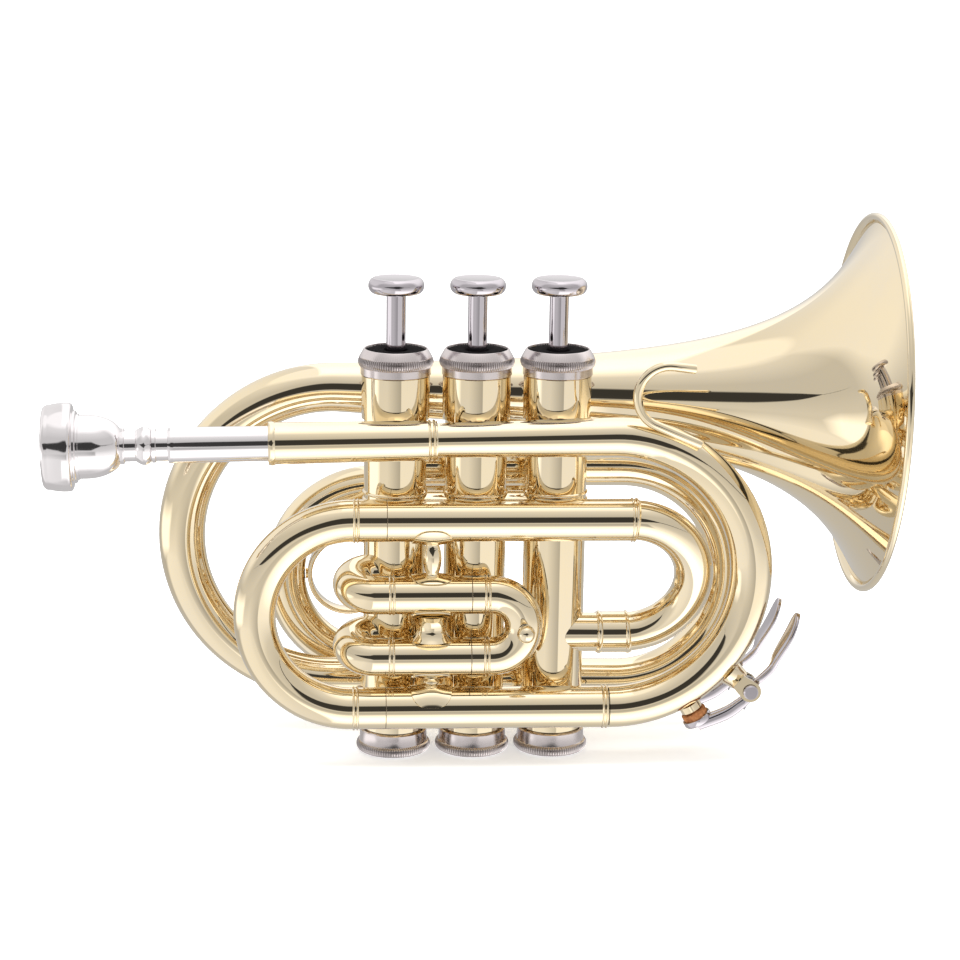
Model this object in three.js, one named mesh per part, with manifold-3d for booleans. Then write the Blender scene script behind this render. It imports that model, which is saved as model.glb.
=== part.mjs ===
// A pocket trumpet in B flat, in millimetres, +Z up.
// +X points to the bell and -Y to the side of the leadpipe.
// The origin is the middle of the second valve's bottom cap, on its flat face.

import * as THREE from 'three';
import { mergeVertices } from 'three/addons/utils/BufferGeometryUtils.js';
import Module from 'manifold-3d';

const wasm = await Module();
wasm.setup();

// Clearances and cutting allowances
const fitGap = 0.3;
const cutOverrun = 2;
const stemClearance = 0.5;
const weldDistance = 0.0001;

// Facet counts
const tubeSides = 12;
const boreSides = 6;
const bellSides = 28;
const capSides = 12;
const cupSides = 14;
const smallSides = 8;
const portSides = 6;
const chordSag = 0.7;
const stationGap = 1;
const springSteps = 8;
const springSides = 5;
const buttonSteps = 5;
const cutterSteps = 12;

// Valve casings
const valveCount = 3;
const valveSpacing = 25;
const casingRadius = 9.65;
const casingBoreRadius = 8.5;
const sleeveRadius = 10.55;
const sleeveLength = 13.4;
const casingTopRadius = 9.7;
const casingFootRadius = 9;
const beadRadius = 10.15;
const beadHeight = 1.2;
const beadSpacing = 2.3;
const upperBeadZ = 84.9;

// Bottom caps
const bottomFloor = 2;
const bottomFaceRadius = 9.7;
const bottomRingRadius = 10.95;
const bottomRingTop = 4;
const bottomRingChamfer = 1.2;
const bottomNeckRadius = 10.05;
const bottomCapHeight = 7.5;

// Top caps and their felts
const topCapBase = 121.2;
const topCapHeight = 8;
const topNeckRadius = 10.85;
const topRingRadius = 11.65;
const topRingBase = 2.9;
const topRingTop = 5.4;
const topRimRadius = 9.75;
const topDishRadius = 9.4;
const topDishDepth = 2.6;
const topWebThickness = 1.4;
const feltThickness = 2;

// Pistons, guides, springs and finger buttons
const pistonBottomZ = 30;
const barrelFloorZ = 88.5;
const barrelBoreRadius = 7.2;
const barrelRoof = 2;
const stemRadius = 3;
const stroke = 17;
const guideZ = 92.5;
const guideThickness = 2;
const guideReach = 8.9;
const guideWidth = 3;
const springRadius = 5.2;
const springWireRadius = 0.6;
const springTurns = 4;
const buttonRadius = 8.65;
const buttonThickness = 4.2;
const buttonFlatRadius = 6.2;
const buttonRestGap = 0.6;
const pocketDepth = 3.4;

// Tubes on the leadpipe side
const runRadius = 6.5;
const runBore = 5.85;
const tubeWall = 0.55;
const bowWall = 1.1;
const lowerRunZ = 18.8;
const upperRunZ = 78.8;
const ferruleRise = 0.35;

// Main tuning slide
const tuningTurnX = -68.4;
const tuningFerruleX = -38.4;
const tuningFerruleWidth = 1.9;
const tuningSplitX = -28.2;
const tuningTipX = 8;

// Leadpipe, its bow and the receiver
const pipeRise = THREE.MathUtils.degToRad(1);
const pipeKneeX = 41.7;
const pipeKneeZ = 104.8;
const leadStartX = -38;
const leadStartRadius = 5.2;
const leadNeckX = -12;
const leadMiddleX = 36;
const leadMiddleRadius = 6;
const bowFullX = 58;
const leadBowReachX = 84.75;
const leadBowRadius = 6.55;
const lowerFerruleInset = 2.5;
const lowerFerruleWidth = 1.8;
const receiverMouthX = -64;
const receiverMouthRadius = 6.43;
const receiverEndX = -12.9;
const receiverEndRadius = 6.05;
const receiverRingRise = 0.2;
const receiverRingWidth = 2.2;

// Mouthpiece, measured from the face of its rim
const rimRadius = 13.4;
const rimRounding = 1.5;
const rimLength = 9;
const ridgeRadius = 10.95;
const ridgeEnd = 10.1;
const bandRadius = 9.7;
const bandEnd = 12.4;
const cupEnd = 22.9;
const cupEndRadius = 5.3;
const collarEnd = 24.3;
const collarRadius = 5.45;
const neckRadius = 4.7;
const neckEnd = 27.9;
const beadOuterRadius = 5.85;
const beadRounding = 1.1;
const beadEnd = 32.3;
const secondCollarEnd = 33.8;
const secondCollarRadius = 5.2;
const secondNeckEnd = 37.5;
const shankCollarEnd = 39.3;
const shankRadius = 5.5;
const shankMouthRadius = 5.35;
const shankShownEnd = 67.3;
const shankInsertion = 24;
const shankTipRadius = 4.85;
const shankBore = 4.2;
const cupMouthRadius = 8.3;
const cupDepth = 10.5;
const throatRadius = 1.9;
const throatLength = 4;
const cupRings = 3;

// Small bow into the third valve
const smallBowInset = 16.85;
const smallBowReach = 20.7;
const smallBowFerruleWidth = 2.1;
const smallBowRadius = 6.15;
const smallBowEndY = -3;
const smallBowEndZ = 39;
const sleeveBandStandoff = 3.45;
const sleeveBandLength = 9.4;
const sleeveBandRise = 0.15;
const bandBeadWidth = 1.5;
const bandBeadRise = 0.35;

// First valve slide
const firstRadius = 5.9;
const firstBore = 5.25;
const firstUpperZ = 55.2;
const firstLowerZ = 35.4;
const firstTurnX = -38.5;
const firstKnuckleY = -2.6;
const firstKnuckleRise = 3.4;
const firstFerruleX = -27.2;
const firstSplitX = -1.7;
const firstSlideFerruleX = 2;
const firstFerruleWidth = 1.6;
const firstReachX = 14.4;
const firstTipX = -23.5;
const knobRadius = 2.8;
const knobStemRadius = 1.5;
const knobStemLength = 0.9;
const knobSeatShare = 0.8;

// Second valve slide, on the bell side
const secondRadius = 6;
const secondBore = 5.35;
const secondLowerZ = 42;
const secondUpperZ = 62;
const secondTipY = 13.5;
const secondSplitY = 26;
const secondFerruleY = 29;
const secondFerruleWidth = 1.6;
const secondReachY = 41;

// Bell side plane: rear bow and bell
const rearRadius = 6.9;
const rearUpperZ = 87.2;
const rearLowerZ = 14.8;
const rearLowerTiltX = 50;
const rearLowerTilt = THREE.MathUtils.degToRad(0.83);
const rearBowReachX = 84.6;
const rearElbowRadius = 10;
const bellJointX = -5;
const bellJointWidth = 3;
const bellBowReachX = -91.9;
const bellTailRadius = 7.7;
const bellAxisZ = 112.15;
const bellAxisX = -36.6;
const bellTilt = THREE.MathUtils.degToRad(1.68);
const bellRimX = 128.4;
const bellRimRadius = 60.2;
const bellHornDepth = 25.4;
const bellWall = 0.65;
const bellWireRadius = 0.95;
const bellRings = 10;
const bellRingShare = 2;
const bellWireSteps = 4;
const bellSideGap = 0.6;

// Third valve slide, outermost on the bell side
const thirdRadius = 6.5;
const thirdBore = 5.85;
const thirdDepth = 14.5;
const thirdUpperZ = 77;
const thirdLowerZ = 18.2;
const thirdUpperPortZ = 60;
const thirdLowerPortZ = 37;
const thirdKnuckleRadius = 8;
const thirdReachX = -59.2;
const thirdFerruleX = -29.8;
const thirdFerruleWidth = 1.9;
const thirdSplitX = -22;
const thirdTipX = 12;
const fingerRingRadius = 13.3;
const fingerRingBand = 1.5;
const fingerRingWidth = 6;
const fingerRingRounding = 0.4;
const fingerRingX = -38.6;
const fingerRingZ = 47.4;
const ringLugRadius = 1.7;

// Transfer tubes between the casings
const transferRadius = 5.9;
const transferZ = 78.4;

// Braces
const braceX = -14;
const balusterRadius = 2.6;
const balusterNeck = 1.9;
const footRadius = 6;
const footThickness = 0.7;
const saddleShare = 0.85;
const bellPostX = -27;
const bellPostRise = 4;
const rearPostX = 3;
const postNeckRadius = 1.8;
const postFootRadius = 3.4;
const postFootHeight = 1.2;

// Little finger hook
const hookWire = 1.45;
const hookLean = 5.6;
const hookHeight = 20.15;
const hookLeft = 5.35;
const hookTip = 22.95;
const hookTipDrop = 2.2;
const hookHeel = 12.75;
const hookFoot = 25.45;
const hookSides = 8;

// Water keys
const keyPostAngle = THREE.MathUtils.degToRad(-40.5);
const nippleDistance = 16.4;
const nippleRadius = 3.6;
const nippleHeight = 1.9;
const nippleBore = 1.6;
const corkRadius = 4;
const corkThickness = 3;
const cupRadius = 4.6;
const cupBase = 1.1;
const cupLip = 1;
const pivotHeight = 7.6;
const pivotBarrelRadius = 2.1;
const pivotPinRadius = 1.1;
const keyArmWidth = 3.2;
const keyArmThickness = 2.2;
const keyBarrelLength = 6.6;
const earThickness = 1.4;
const earRadius = 3.3;
const forkShare = 0.9;
const earNeckShare = 0.75;
const keyPostRadius = 4;
const keyPostTopRadius = 3.2;
const paddleLength = 27;
const paddleWidth = 8;
const paddleThickness = 1.9;
const paddleSpreadShare = 0.35;
const paddleKneeShare = 0.5;
const paddleLean = THREE.MathUtils.degToRad(62);
const paddleStartLean = THREE.MathUtils.degToRad(44);
const screwHeadRadius = 2.4;
const screwHeadThickness = 1;
const screwSlotWidth = 0.7;
const screwSlotDepth = 0.5;
const keyWire = 0.3;
const keySpringTurns = 2;
const keySpringGap = 0.45;
const keySpringPitch = 1.05;
const keySpringLeg = 8;

// Places worked out from the sizes above
const valveX = [...Array(valveCount).keys()].map((i) => (i - (valveCount - 1) / 2) * valveSpacing);
const [firstX, secondX, thirdX] = valveX;
const frontY = -(casingRadius + runRadius + fitGap);
const capPlaneZ = topCapBase + topCapHeight;
const webTopZ = capPlaneZ - topDishDepth;
const casingTopZ = webTopZ - topWebThickness - fitGap;
const pistonTopZ = casingTopZ;
const feltTopZ = webTopZ + fitGap + feltThickness;
const casingBottomZ = bottomFloor + fitGap;
const sleeveTopZ = topCapBase - fitGap;
const sleeveBottomZ = sleeveTopZ - sleeveLength;
const bellPostZ = sleeveBottomZ + bellPostRise;
const buttonBottomZ = feltTopZ + stroke + buttonRestGap;
const guideTopZ = guideZ + guideThickness;

const pistonRadius = casingBoreRadius - fitGap;
const guideRadius = barrelBoreRadius - fitGap;
const stemHoleRadius = stemRadius + stemClearance;
const receiverMouthBore = shankMouthRadius + fitGap;

const bellRadiusAt = (distance) => Math.max(bellTailRadius,
  (bellRimRadius * bellHornDepth) / (distance + bellHornDepth));
const leadBowBend = (pipeKneeZ + (leadBowReachX - pipeKneeX) * Math.tan(pipeRise) - lowerRunZ)
  / (1 + Math.tan((Math.PI / 2 + pipeRise) / 2));
const leadBowX = leadBowReachX - leadBowBend;
const lowerRunEndX = leadBowX - lowerFerruleInset + lowerFerruleWidth;
const smallBowReachX = leadBowReachX - smallBowInset;
const smallBowStartX = smallBowReachX - smallBowReach;
const sleeveBandX = thirdX + casingRadius + sleeveBandStandoff;

const bellAxisZAt = (x) => bellAxisZ - (x - bellAxisX) * Math.tan(bellTilt);
const rearLowerZAt = (x) => rearLowerZ - (x - rearLowerTiltX) * Math.tan(rearLowerTilt);
const leadpipeZAt = (x) => pipeKneeZ - (pipeKneeX - x) * Math.tan(pipeRise);
const rearY = sleeveRadius + bellRadiusAt(bellRimX - thirdX) + bellSideGap;
const thirdY = rearY + thirdDepth;

const point = (x, y, z) => new THREE.Vector3(x, y, z);
const axisX = point(1, 0, 0);
const axisY = point(0, 1, 0);
const axisZ = point(0, 0, 1);

// Turn any closed geometry into a solid with its faces pointing out
function solid(geometry) {
  const plain = geometry.index ? geometry.toNonIndexed() : geometry.clone();
  plain.deleteAttribute('normal');
  plain.deleteAttribute('uv');
  const merged = mergeVertices(plain, weldDistance);
  const positions = merged.attributes.position;
  const corners = Array.from(merged.index.array);
  const kept = [];
  let volume = 0;
  const [a, b, c] = [point(0, 0, 0), point(0, 0, 0), point(0, 0, 0)];
  for (let i = 0; i < corners.length; i += 3) {
    const [p, q, r] = corners.slice(i, i + 3);
    if (p === q || q === r || r === p) continue;
    kept.push(p, q, r);
    a.fromBufferAttribute(positions, p);
    b.fromBufferAttribute(positions, q);
    c.fromBufferAttribute(positions, r);
    volume += a.dot(b.cross(c));
  }
  if (volume < 0) {
    for (let i = 0; i < kept.length; i += 3) [kept[i], kept[i + 1]] = [kept[i + 1], kept[i]];
  }
  return new wasm.Manifold(new wasm.Mesh({
    numProp: 3,
    vertProperties: new Float32Array(positions.array),
    triVerts: new Uint32Array(kept),
  }));
}

// Turn a solid back into a geometry with crisp facets
function geometryOf(body) {
  const mesh = body.getMesh();
  const geometry = new THREE.BufferGeometry();
  geometry.setAttribute('position', new THREE.BufferAttribute(mesh.vertProperties, 3));
  geometry.setIndex(new THREE.BufferAttribute(mesh.triVerts, 1));
  geometry.computeVertexNormals();
  return geometry;
}

// Revolve a profile of [radius, height] about an axis through a place.
// A profile that leaves the axis is closed into a ring.
function revolve(profile, sides, place = point(0, 0, 0), direction = axisZ) {
  const points = profile.map(([radius, height]) => new THREE.Vector2(radius, height));
  const first = points[0];
  const last = points[points.length - 1];
  if (first.x > 0 || last.x > 0) points.push(first.clone());
  const geometry = new THREE.LatheGeometry(points, sides);
  const turn = new THREE.Quaternion().setFromUnitVectors(axisY, direction.clone().normalize());
  geometry.applyQuaternion(turn);
  geometry.translate(place.x, place.y, place.z);
  return solid(geometry);
}

// A plain rod between two points
function rod(from, to, radius, sides) {
  const direction = to.clone().sub(from);
  const length = direction.length();
  return revolve([[0, 0], [radius, 0], [radius, length], [0, length]], sides, from, direction);
}

// A box between two corners
function block(low, high) {
  const size = high.clone().sub(low);
  const geometry = new THREE.BoxGeometry(size.x, size.y, size.z);
  const middle = low.clone().add(high).multiplyScalar(0.5);
  geometry.translate(middle.x, middle.y, middle.z);
  return solid(geometry);
}

// A path of straight stretches joined by round bends, one bend for each inner corner
function route(corners, bends) {
  const pieces = [];
  let length = 0;
  let from = corners[0];
  corners.slice(1, -1).forEach((corner, i) => {
    const before = corner.clone().sub(corners[i]).normalize();
    const after = corners[i + 2].clone().sub(corner).normalize();
    const turn = before.angleTo(after);
    const reach = bends[i] * Math.tan(turn / 2);
    const start = corner.clone().addScaledVector(before, -reach);
    const centreSide = after.clone().addScaledVector(before, -after.dot(before)).normalize();
    const straight = start.distanceTo(from);
    pieces.push({ kind: 'line', at: length, length: straight, from, direction: before });
    length += straight;
    pieces.push({ kind: 'arc', at: length, length: bends[i] * turn, from: start, direction: before,
      side: centreSide, radius: bends[i], turn });
    length += bends[i] * turn;
    from = corner.clone().addScaledVector(after, reach);
  });
  const end = corners[corners.length - 1];
  const direction = end.clone().sub(corners[corners.length - 2]).normalize();
  pieces.push({ kind: 'line', at: length, length: end.distanceTo(from), from, direction });
  return { pieces, length: length + end.distanceTo(from) };
}

// Place and direction on a path at a distance from its start
function along(path, distance) {
  const piece = path.pieces.findLast((p) => p.at <= distance) ?? path.pieces[0];
  const local = distance - piece.at;
  if (piece.kind === 'line') {
    return { place: piece.from.clone().addScaledVector(piece.direction, local), direction: piece.direction };
  }
  const turned = local / piece.radius;
  const place = piece.from.clone()
    .addScaledVector(piece.direction, piece.radius * Math.sin(turned))
    .addScaledVector(piece.side, piece.radius * (1 - Math.cos(turned)));
  const direction = piece.direction.clone().multiplyScalar(Math.cos(turned))
    .addScaledVector(piece.side, Math.sin(turned));
  return { place, direction };
}

// Radius between knots of [distance, radius]; two knots at one distance make a step
function radiusAt(knots, distance) {
  const next = knots.findIndex(([at]) => at > distance);
  if (next < 0) return knots[knots.length - 1][1];
  if (next === 0) return knots[0][1];
  const [a, b] = [knots[next - 1], knots[next]];
  return a[1] + ((distance - a[0]) / (b[0] - a[0])) * (b[1] - a[1]);
}

// A closed skin through round sections; the phase share turns its corners by a part of a facet
function skin(sections, sides, phaseShare = 0.5) {
  const positions = [];
  const index = [];
  let normal = null;
  sections.forEach(({ place, direction, radius }) => {
    if (!normal) normal = new THREE.Vector3(direction.y, direction.z, direction.x);
    normal.addScaledVector(direction, -normal.dot(direction)).normalize();
    const binormal = direction.clone().cross(normal);
    for (let k = 0; k < sides; k += 1) {
      const angle = (2 * Math.PI * (k + phaseShare)) / sides;
      const spot = place.clone().addScaledVector(normal, radius * Math.cos(angle))
        .addScaledVector(binormal, radius * Math.sin(angle));
      positions.push(spot.x, spot.y, spot.z);
    }
  });
  const first = sections[0].place;
  const last = sections[sections.length - 1].place;
  positions.push(first.x, first.y, first.z, last.x, last.y, last.z);
  const firstCentre = sections.length * sides;
  const lastCentre = firstCentre + 1;
  for (let k = 0; k < sides; k += 1) {
    const next = (k + 1) % sides;
    index.push(firstCentre, next, k);
    const base = (sections.length - 1) * sides;
    index.push(lastCentre, base + k, base + next);
    for (let s = 0; s < sections.length - 1; s += 1) {
      const [low, high] = [s * sides, (s + 1) * sides];
      index.push(low + k, low + next, high + next, low + k, high + next, high + k);
    }
  }
  const geometry = new THREE.BufferGeometry();
  geometry.setAttribute('position', new THREE.Float32BufferAttribute(positions, 3));
  geometry.setIndex(index);
  return solid(geometry);
}

// Steps that keep the chords of a bend within a small distance of its arc
const bendSteps = (bend) => Math.ceil(bend.turn / (2 * Math.acos(1 - chordSag / bend.radius)));

// Sweep a round section along a path with its radius given by knots
function sweep(path, knots, sides, overrun = 0, phaseShare = 0.5) {
  const stops = [];
  knots.forEach(([at, radius]) => stops.push({ at, radius }));
  path.pieces.forEach((piece) => {
    const steps = piece.kind === 'arc' ? bendSteps(piece) : 1;
    for (let i = 0; i <= steps; i += 1) {
      const at = piece.at + (piece.length * i) / steps;
      const near = stops.some((stop) => Math.abs(stop.at - at) < stationGap);
      if (!near) stops.push({ at, radius: radiusAt(knots, at) });
    }
  });
  stops.sort((a, b) => a.at - b.at);
  const sections = stops.map(({ at, radius }) => ({ ...along(path, at), radius }));
  if (overrun > 0) {
    const [first, last] = [sections[0], sections[sections.length - 1]];
    sections.unshift({ ...first, place: first.place.clone().addScaledVector(first.direction, -overrun) });
    sections.push({ ...last, place: last.place.clone().addScaledVector(last.direction, overrun) });
  }
  return skin(sections, sides, phaseShare);
}

// A tube: an outer skin, with any fittings on it, less its bore
function tube(path, outer, bore, bores = boreSides, fittings = []) {
  const whole = outer.map(([at, radius]) => [at < 0 ? path.length + at : at, radius]);
  const hollow = bore.map(([at, radius]) => [at < 0 ? path.length + at : at, radius]);
  whole.push([path.length, whole[whole.length - 1][1]]);
  hollow.push([path.length, hollow[hollow.length - 1][1]]);
  const body = fittings.reduce((sum, fitting) => sum.add(fitting), sweep(path, whole, tubeSides));
  return body.subtract(sweep(path, hollow, bores, cutOverrun));
}

// A raised ring on a tube, as knots of [distance, radius]
const band = (from, width, radius, rise) => [
  [from, radius], [from, radius + rise], [from + width, radius + rise], [from + width, radius],
];

// A cylinder that stands for a valve casing when tubes are cut to meet it
function casingCutter(x) {
  const clear = casingRadius + fitGap;
  const clearOfBeads = beadRadius + fitGap;
  const beadsFrom = upperBeadZ - beadSpacing - beadHeight - fitGap;
  return revolve([[0, 0], [clear, 0], [clear, beadsFrom], [clearOfBeads, beadsFrom],
    [clearOfBeads, capPlaneZ], [0, capPlaneZ]], tubeSides * 2, point(x, 0, 0));
}

// A slide crook: two legs, their sleeves and ferrules, and a round bow between them.
// Lengths are measured from the tip of a leg.
function crook(path, legLength, sleeveLength, ferruleWidth, radius, legRadius) {
  const ends = legLength + sleeveLength;
  const half = [[0, legRadius], [legLength, legRadius], [legLength, radius],
    ...band(ends, ferruleWidth, radius, ferruleRise)];
  const mirrored = half.map(([at, r]) => [path.length - at, r]).reverse();
  const outer = [...half, ...mirrored];
  const bore = [[0, legRadius - tubeWall], [path.length, legRadius - tubeWall]];
  return sweep(path, outer, tubeSides).subtract(sweep(path, bore, boreSides, cutOverrun));
}

// Path of a U: two legs whose turn reaches a place, in any plane
function uPath(from, turnA, turnB, to) {
  const rise = turnB.distanceTo(turnA);
  const across = turnB.clone().sub(turnA).normalize();
  const tanA = Math.tan(turnA.clone().sub(from).angleTo(across) / 2);
  const tanB = Math.tan(to.clone().sub(turnB).angleTo(across) / 2);
  const bend = rise / (tanA + tanB);
  return route([from, turnA, turnB, to], [bend, bend]);
}

// Valve ports: height, side it opens to, bore and sideways offset
const leftSide = axisX.clone().negate();
const ports = [
  [
    { z: transferZ, side: axisX, bore: transferRadius - tubeWall, y: 0, open: true },
    { z: rearUpperZ, side: axisY, bore: rearRadius - bowWall, y: 0, open: true },
    { z: firstUpperZ + firstKnuckleRise, side: leftSide, bore: firstBore - tubeWall, y: firstKnuckleY },
    { z: firstLowerZ + firstKnuckleRise, side: leftSide, bore: firstBore - tubeWall, y: firstKnuckleY },
  ],
  [
    { z: transferZ, side: axisX, bore: transferRadius - tubeWall, y: 0, open: true },
    { z: transferZ, side: leftSide, bore: transferRadius - tubeWall, y: 0, open: true },
    { z: secondUpperZ, side: axisY, bore: secondBore - tubeWall, y: 0 },
    { z: secondLowerZ, side: axisY, bore: secondBore - tubeWall, y: 0 },
  ],
  [
    { z: transferZ, side: leftSide, bore: transferRadius - tubeWall, y: 0, open: true },
    { z: smallBowEndZ, side: axisX, bore: smallBowRadius - bowWall, y: smallBowEndY, open: true },
    { z: thirdUpperPortZ, side: axisY, bore: thirdBore - bowWall, y: 0 },
    { z: thirdLowerPortZ, side: axisY, bore: thirdBore - bowWall, y: 0 },
  ],
];

// Drill from a place near the valve's axis outwards through a port
function portDrill(x, port, rise, startRadius, endRadius) {
  const from = point(x, port.y, port.z + rise).addScaledVector(port.side, startRadius);
  const to = point(x, port.y, port.z + rise).addScaledVector(port.side, endRadius);
  return rod(from, to, port.bore, portSides);
}

// Casing: one bored tube with a wide upper sleeve, a double bead and threads for the caps
function casing(index) {
  const x = valveX[index];
  const lowerBeadZ = upperBeadZ - beadSpacing;
  const outer = [
    [casingBoreRadius, casingBottomZ], [casingFootRadius, casingBottomZ],
    [casingFootRadius, bottomCapHeight + fitGap], [casingRadius, bottomCapHeight + fitGap],
    [casingRadius, lowerBeadZ - beadHeight], [beadRadius, lowerBeadZ - beadHeight / 2],
    [casingRadius, lowerBeadZ], [casingRadius, upperBeadZ - beadHeight],
    [beadRadius, upperBeadZ - beadHeight / 2], [casingRadius, upperBeadZ],
    [casingRadius, sleeveBottomZ], [sleeveRadius, sleeveBottomZ],
    [sleeveRadius, sleeveTopZ], [casingTopRadius, sleeveTopZ],
    [casingTopRadius, casingTopZ], [casingBoreRadius, casingTopZ],
  ];
  let body = revolve(outer, capSides, point(x, 0, 0));
  if (index === 1) {
    const reach = valveSpacing / 2;
    [axisX, leftSide].forEach((side) => {
      const from = point(x, 0, transferZ).addScaledVector(side, (casingBoreRadius + casingRadius) / 2);
      const to = point(x, 0, transferZ).addScaledVector(side, reach * 2 - casingBoreRadius);
      body = body.add(rod(from, to, transferRadius, tubeSides));
    });
    body = body.subtract(casingCutter(firstX)).subtract(casingCutter(thirdX));
  }
  const drillEnd = index === 1 ? valveSpacing : casingRadius + cutOverrun;
  ports[index].forEach((port) => {
    body = body.subtract(portDrill(x, port, 0, casingBoreRadius / 2, drillEnd));
  });
  const keyway = guideReach + fitGap;
  const keyWidth = guideWidth / 2 + fitGap;
  return body.subtract(block(point(x - keyway, -keyWidth, guideZ - fitGap),
    point(x + keyway, keyWidth, casingTopZ + cutOverrun)));
}

// Piston: ported body below, slotted spring barrel above, and the stem, in one piece
function piston(index) {
  const x = valveX[index];
  const stemTop = buttonBottomZ - fitGap;
  const roofZ = pistonTopZ - barrelRoof;
  let body = revolve([
    [0, pistonBottomZ], [pistonRadius, pistonBottomZ], [pistonRadius, pistonTopZ],
    [stemRadius, pistonTopZ], [stemRadius, stemTop], [0, stemTop],
  ], capSides, point(x, 0, 0));
  body = body.subtract(rod(point(x, 0, barrelFloorZ), point(x, 0, roofZ), barrelBoreRadius, tubeSides));
  const slot = guideWidth / 2 + fitGap;
  body = body.subtract(block(point(x - pistonRadius - cutOverrun, -slot, guideZ - fitGap),
    point(x + pistonRadius + cutOverrun, slot, guideTopZ + stroke + fitGap)));
  const open = ports[index].filter((port) => port.open);
  open.forEach((port) => {
    body = body.subtract(portDrill(x, port, 0, 0, pistonRadius + cutOverrun));
  });
  const [low, high] = open.map((port) => port.z).sort((a, b) => a - b);
  if (high > low) {
    const link = Math.min(...open.map((port) => port.bore));
    body = body.subtract(rod(point(x, 0, low - link / 2), point(x, 0, high), link, portSides));
  }
  ports[index].filter((port) => !port.open).forEach((port) => {
    const pocketFloor = pistonRadius - pocketDepth / 2;
    body = body.subtract(portDrill(x, port, stroke, pocketFloor, pistonRadius + cutOverrun));
  });
  return body;
}

// Guide: a disc in the barrel whose two ears rest on the keyway's floor in the casing
function guide(x) {
  const disc = rod(point(x, 0, guideZ), point(x, 0, guideTopZ), guideRadius, tubeSides);
  const low = point(x - guideReach, -guideWidth / 2, guideZ);
  const ears = block(low, point(x + guideReach, guideWidth / 2, guideTopZ));
  return disc.add(ears);
}

// Coil spring between the guide and the barrel's roof
function coil(place, direction, startSide, radius, wire, turns, pitch, leads = []) {
  const binormal = direction.clone().cross(startSide);
  const sections = [];
  const steps = Math.round(turns * springSteps);
  for (let i = 0; i <= steps; i += 1) {
    const angle = (2 * Math.PI * i) / springSteps;
    const [sine, cosine] = [Math.sin(angle), Math.cos(angle)];
    const round = startSide.clone().multiplyScalar(cosine).addScaledVector(binormal, sine);
    const tangent = startSide.clone().multiplyScalar(-sine).addScaledVector(binormal, cosine);
    const climb = pitch / (2 * Math.PI * radius);
    sections.push({
      place: place.clone().addScaledVector(round, radius)
        .addScaledVector(direction, (pitch * i) / springSteps),
      direction: tangent.addScaledVector(direction, climb).normalize(),
      radius: wire,
    });
  }
  leads.forEach(({ atStart, length }) => {
    const end = atStart ? sections[0] : sections[sections.length - 1];
    const sign = atStart ? -1 : 1;
    const tip = { ...end, place: end.place.clone().addScaledVector(end.direction, sign * length) };
    if (atStart) sections.unshift(tip);
    else sections.push(tip);
  });
  return skin(sections, springSides);
}

function valveSpring(x) {
  const bottom = guideTopZ + fitGap + springWireRadius;
  const top = pistonTopZ - barrelRoof - fitGap - springWireRadius;
  const pitch = (top - bottom) / springTurns;
  return coil(point(x, 0, bottom), axisZ, axisY, springRadius, springWireRadius, springTurns, pitch);
}

// Least gap between two turns of a spring, from its points
function springGap(radius, wire, turns, pitch) {
  let least = Infinity;
  const spots = [];
  for (let i = 0; i <= turns * springSteps; i += 1) {
    const angle = (2 * Math.PI * i) / springSteps;
    spots.push(point(radius * Math.cos(angle), radius * Math.sin(angle), (pitch * i) / springSteps));
  }
  spots.forEach((a, i) => spots.slice(i + springSteps - 1).forEach((b) => {
    least = Math.min(least, a.distanceTo(b) - 2 * wire);
  }));
  return least;
}

// Top cap: threaded skirt, knurled ring, bevel, and a dish that holds the felt
function topCap(x) {
  const inner = casingTopRadius + fitGap;
  const webZ = webTopZ - topWebThickness;
  return revolve([
    [inner, topCapBase], [topNeckRadius, topCapBase], [topNeckRadius, topCapBase + topRingBase],
    [topRingRadius, topCapBase + topRingBase], [topRingRadius, topCapBase + topRingTop],
    [topRimRadius, capPlaneZ], [topDishRadius, capPlaneZ], [topDishRadius, webTopZ],
    [stemHoleRadius, webTopZ], [stemHoleRadius, webZ], [inner, webZ],
  ], capSides, point(x, 0, 0));
}

function capFelt(x) {
  const outer = topDishRadius - fitGap;
  const low = webTopZ + fitGap;
  return revolve([[stemHoleRadius, low], [outer, low], [outer, feltTopZ], [stemHoleRadius, feltTopZ]],
    tubeSides, point(x, 0, 0));
}

// Bottom cap: flat floor, chamfered knurled ring and a plain threaded neck
function bottomCap(x) {
  const inner = casingFootRadius + fitGap;
  return revolve([
    [0, 0], [bottomFaceRadius, 0], [bottomRingRadius, bottomRingChamfer],
    [bottomRingRadius, bottomRingTop - bottomRingChamfer / 2], [bottomNeckRadius, bottomRingTop],
    [bottomNeckRadius, bottomCapHeight], [inner, bottomCapHeight], [inner, bottomFloor], [0, bottomFloor],
  ], capSides, point(x, 0, 0));
}

// Finger button: flat top with fully rounded edge
function button(x) {
  const half = buttonThickness / 2;
  const fall = buttonRadius - buttonFlatRadius;
  const profile = [[0, buttonBottomZ]];
  for (let i = 0; i <= buttonSteps; i += 1) {
    const angle = -Math.PI / 2 + (Math.PI * i) / buttonSteps;
    profile.push([buttonFlatRadius + fall * Math.cos(angle), buttonBottomZ + half * (1 + Math.sin(angle))]);
  }
  profile.push([0, buttonBottomZ + buttonThickness]);
  return revolve(profile, capSides, point(x, 0, 0));
}

// Runs on the leadpipe side: the outer tubes of the tuning slide
function lowerRun() {
  const path = route([point(tuningSplitX + fitGap, frontY, lowerRunZ),
    point(lowerRunEndX, frontY, lowerRunZ)], []);
  const ferruleStart = path.length - lowerFerruleWidth;
  const outer = [[0, runRadius], [ferruleStart, runRadius], [ferruleStart, runRadius + ferruleRise]];
  return tube(path, outer, [[0, runBore]], tubeSides);
}

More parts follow.
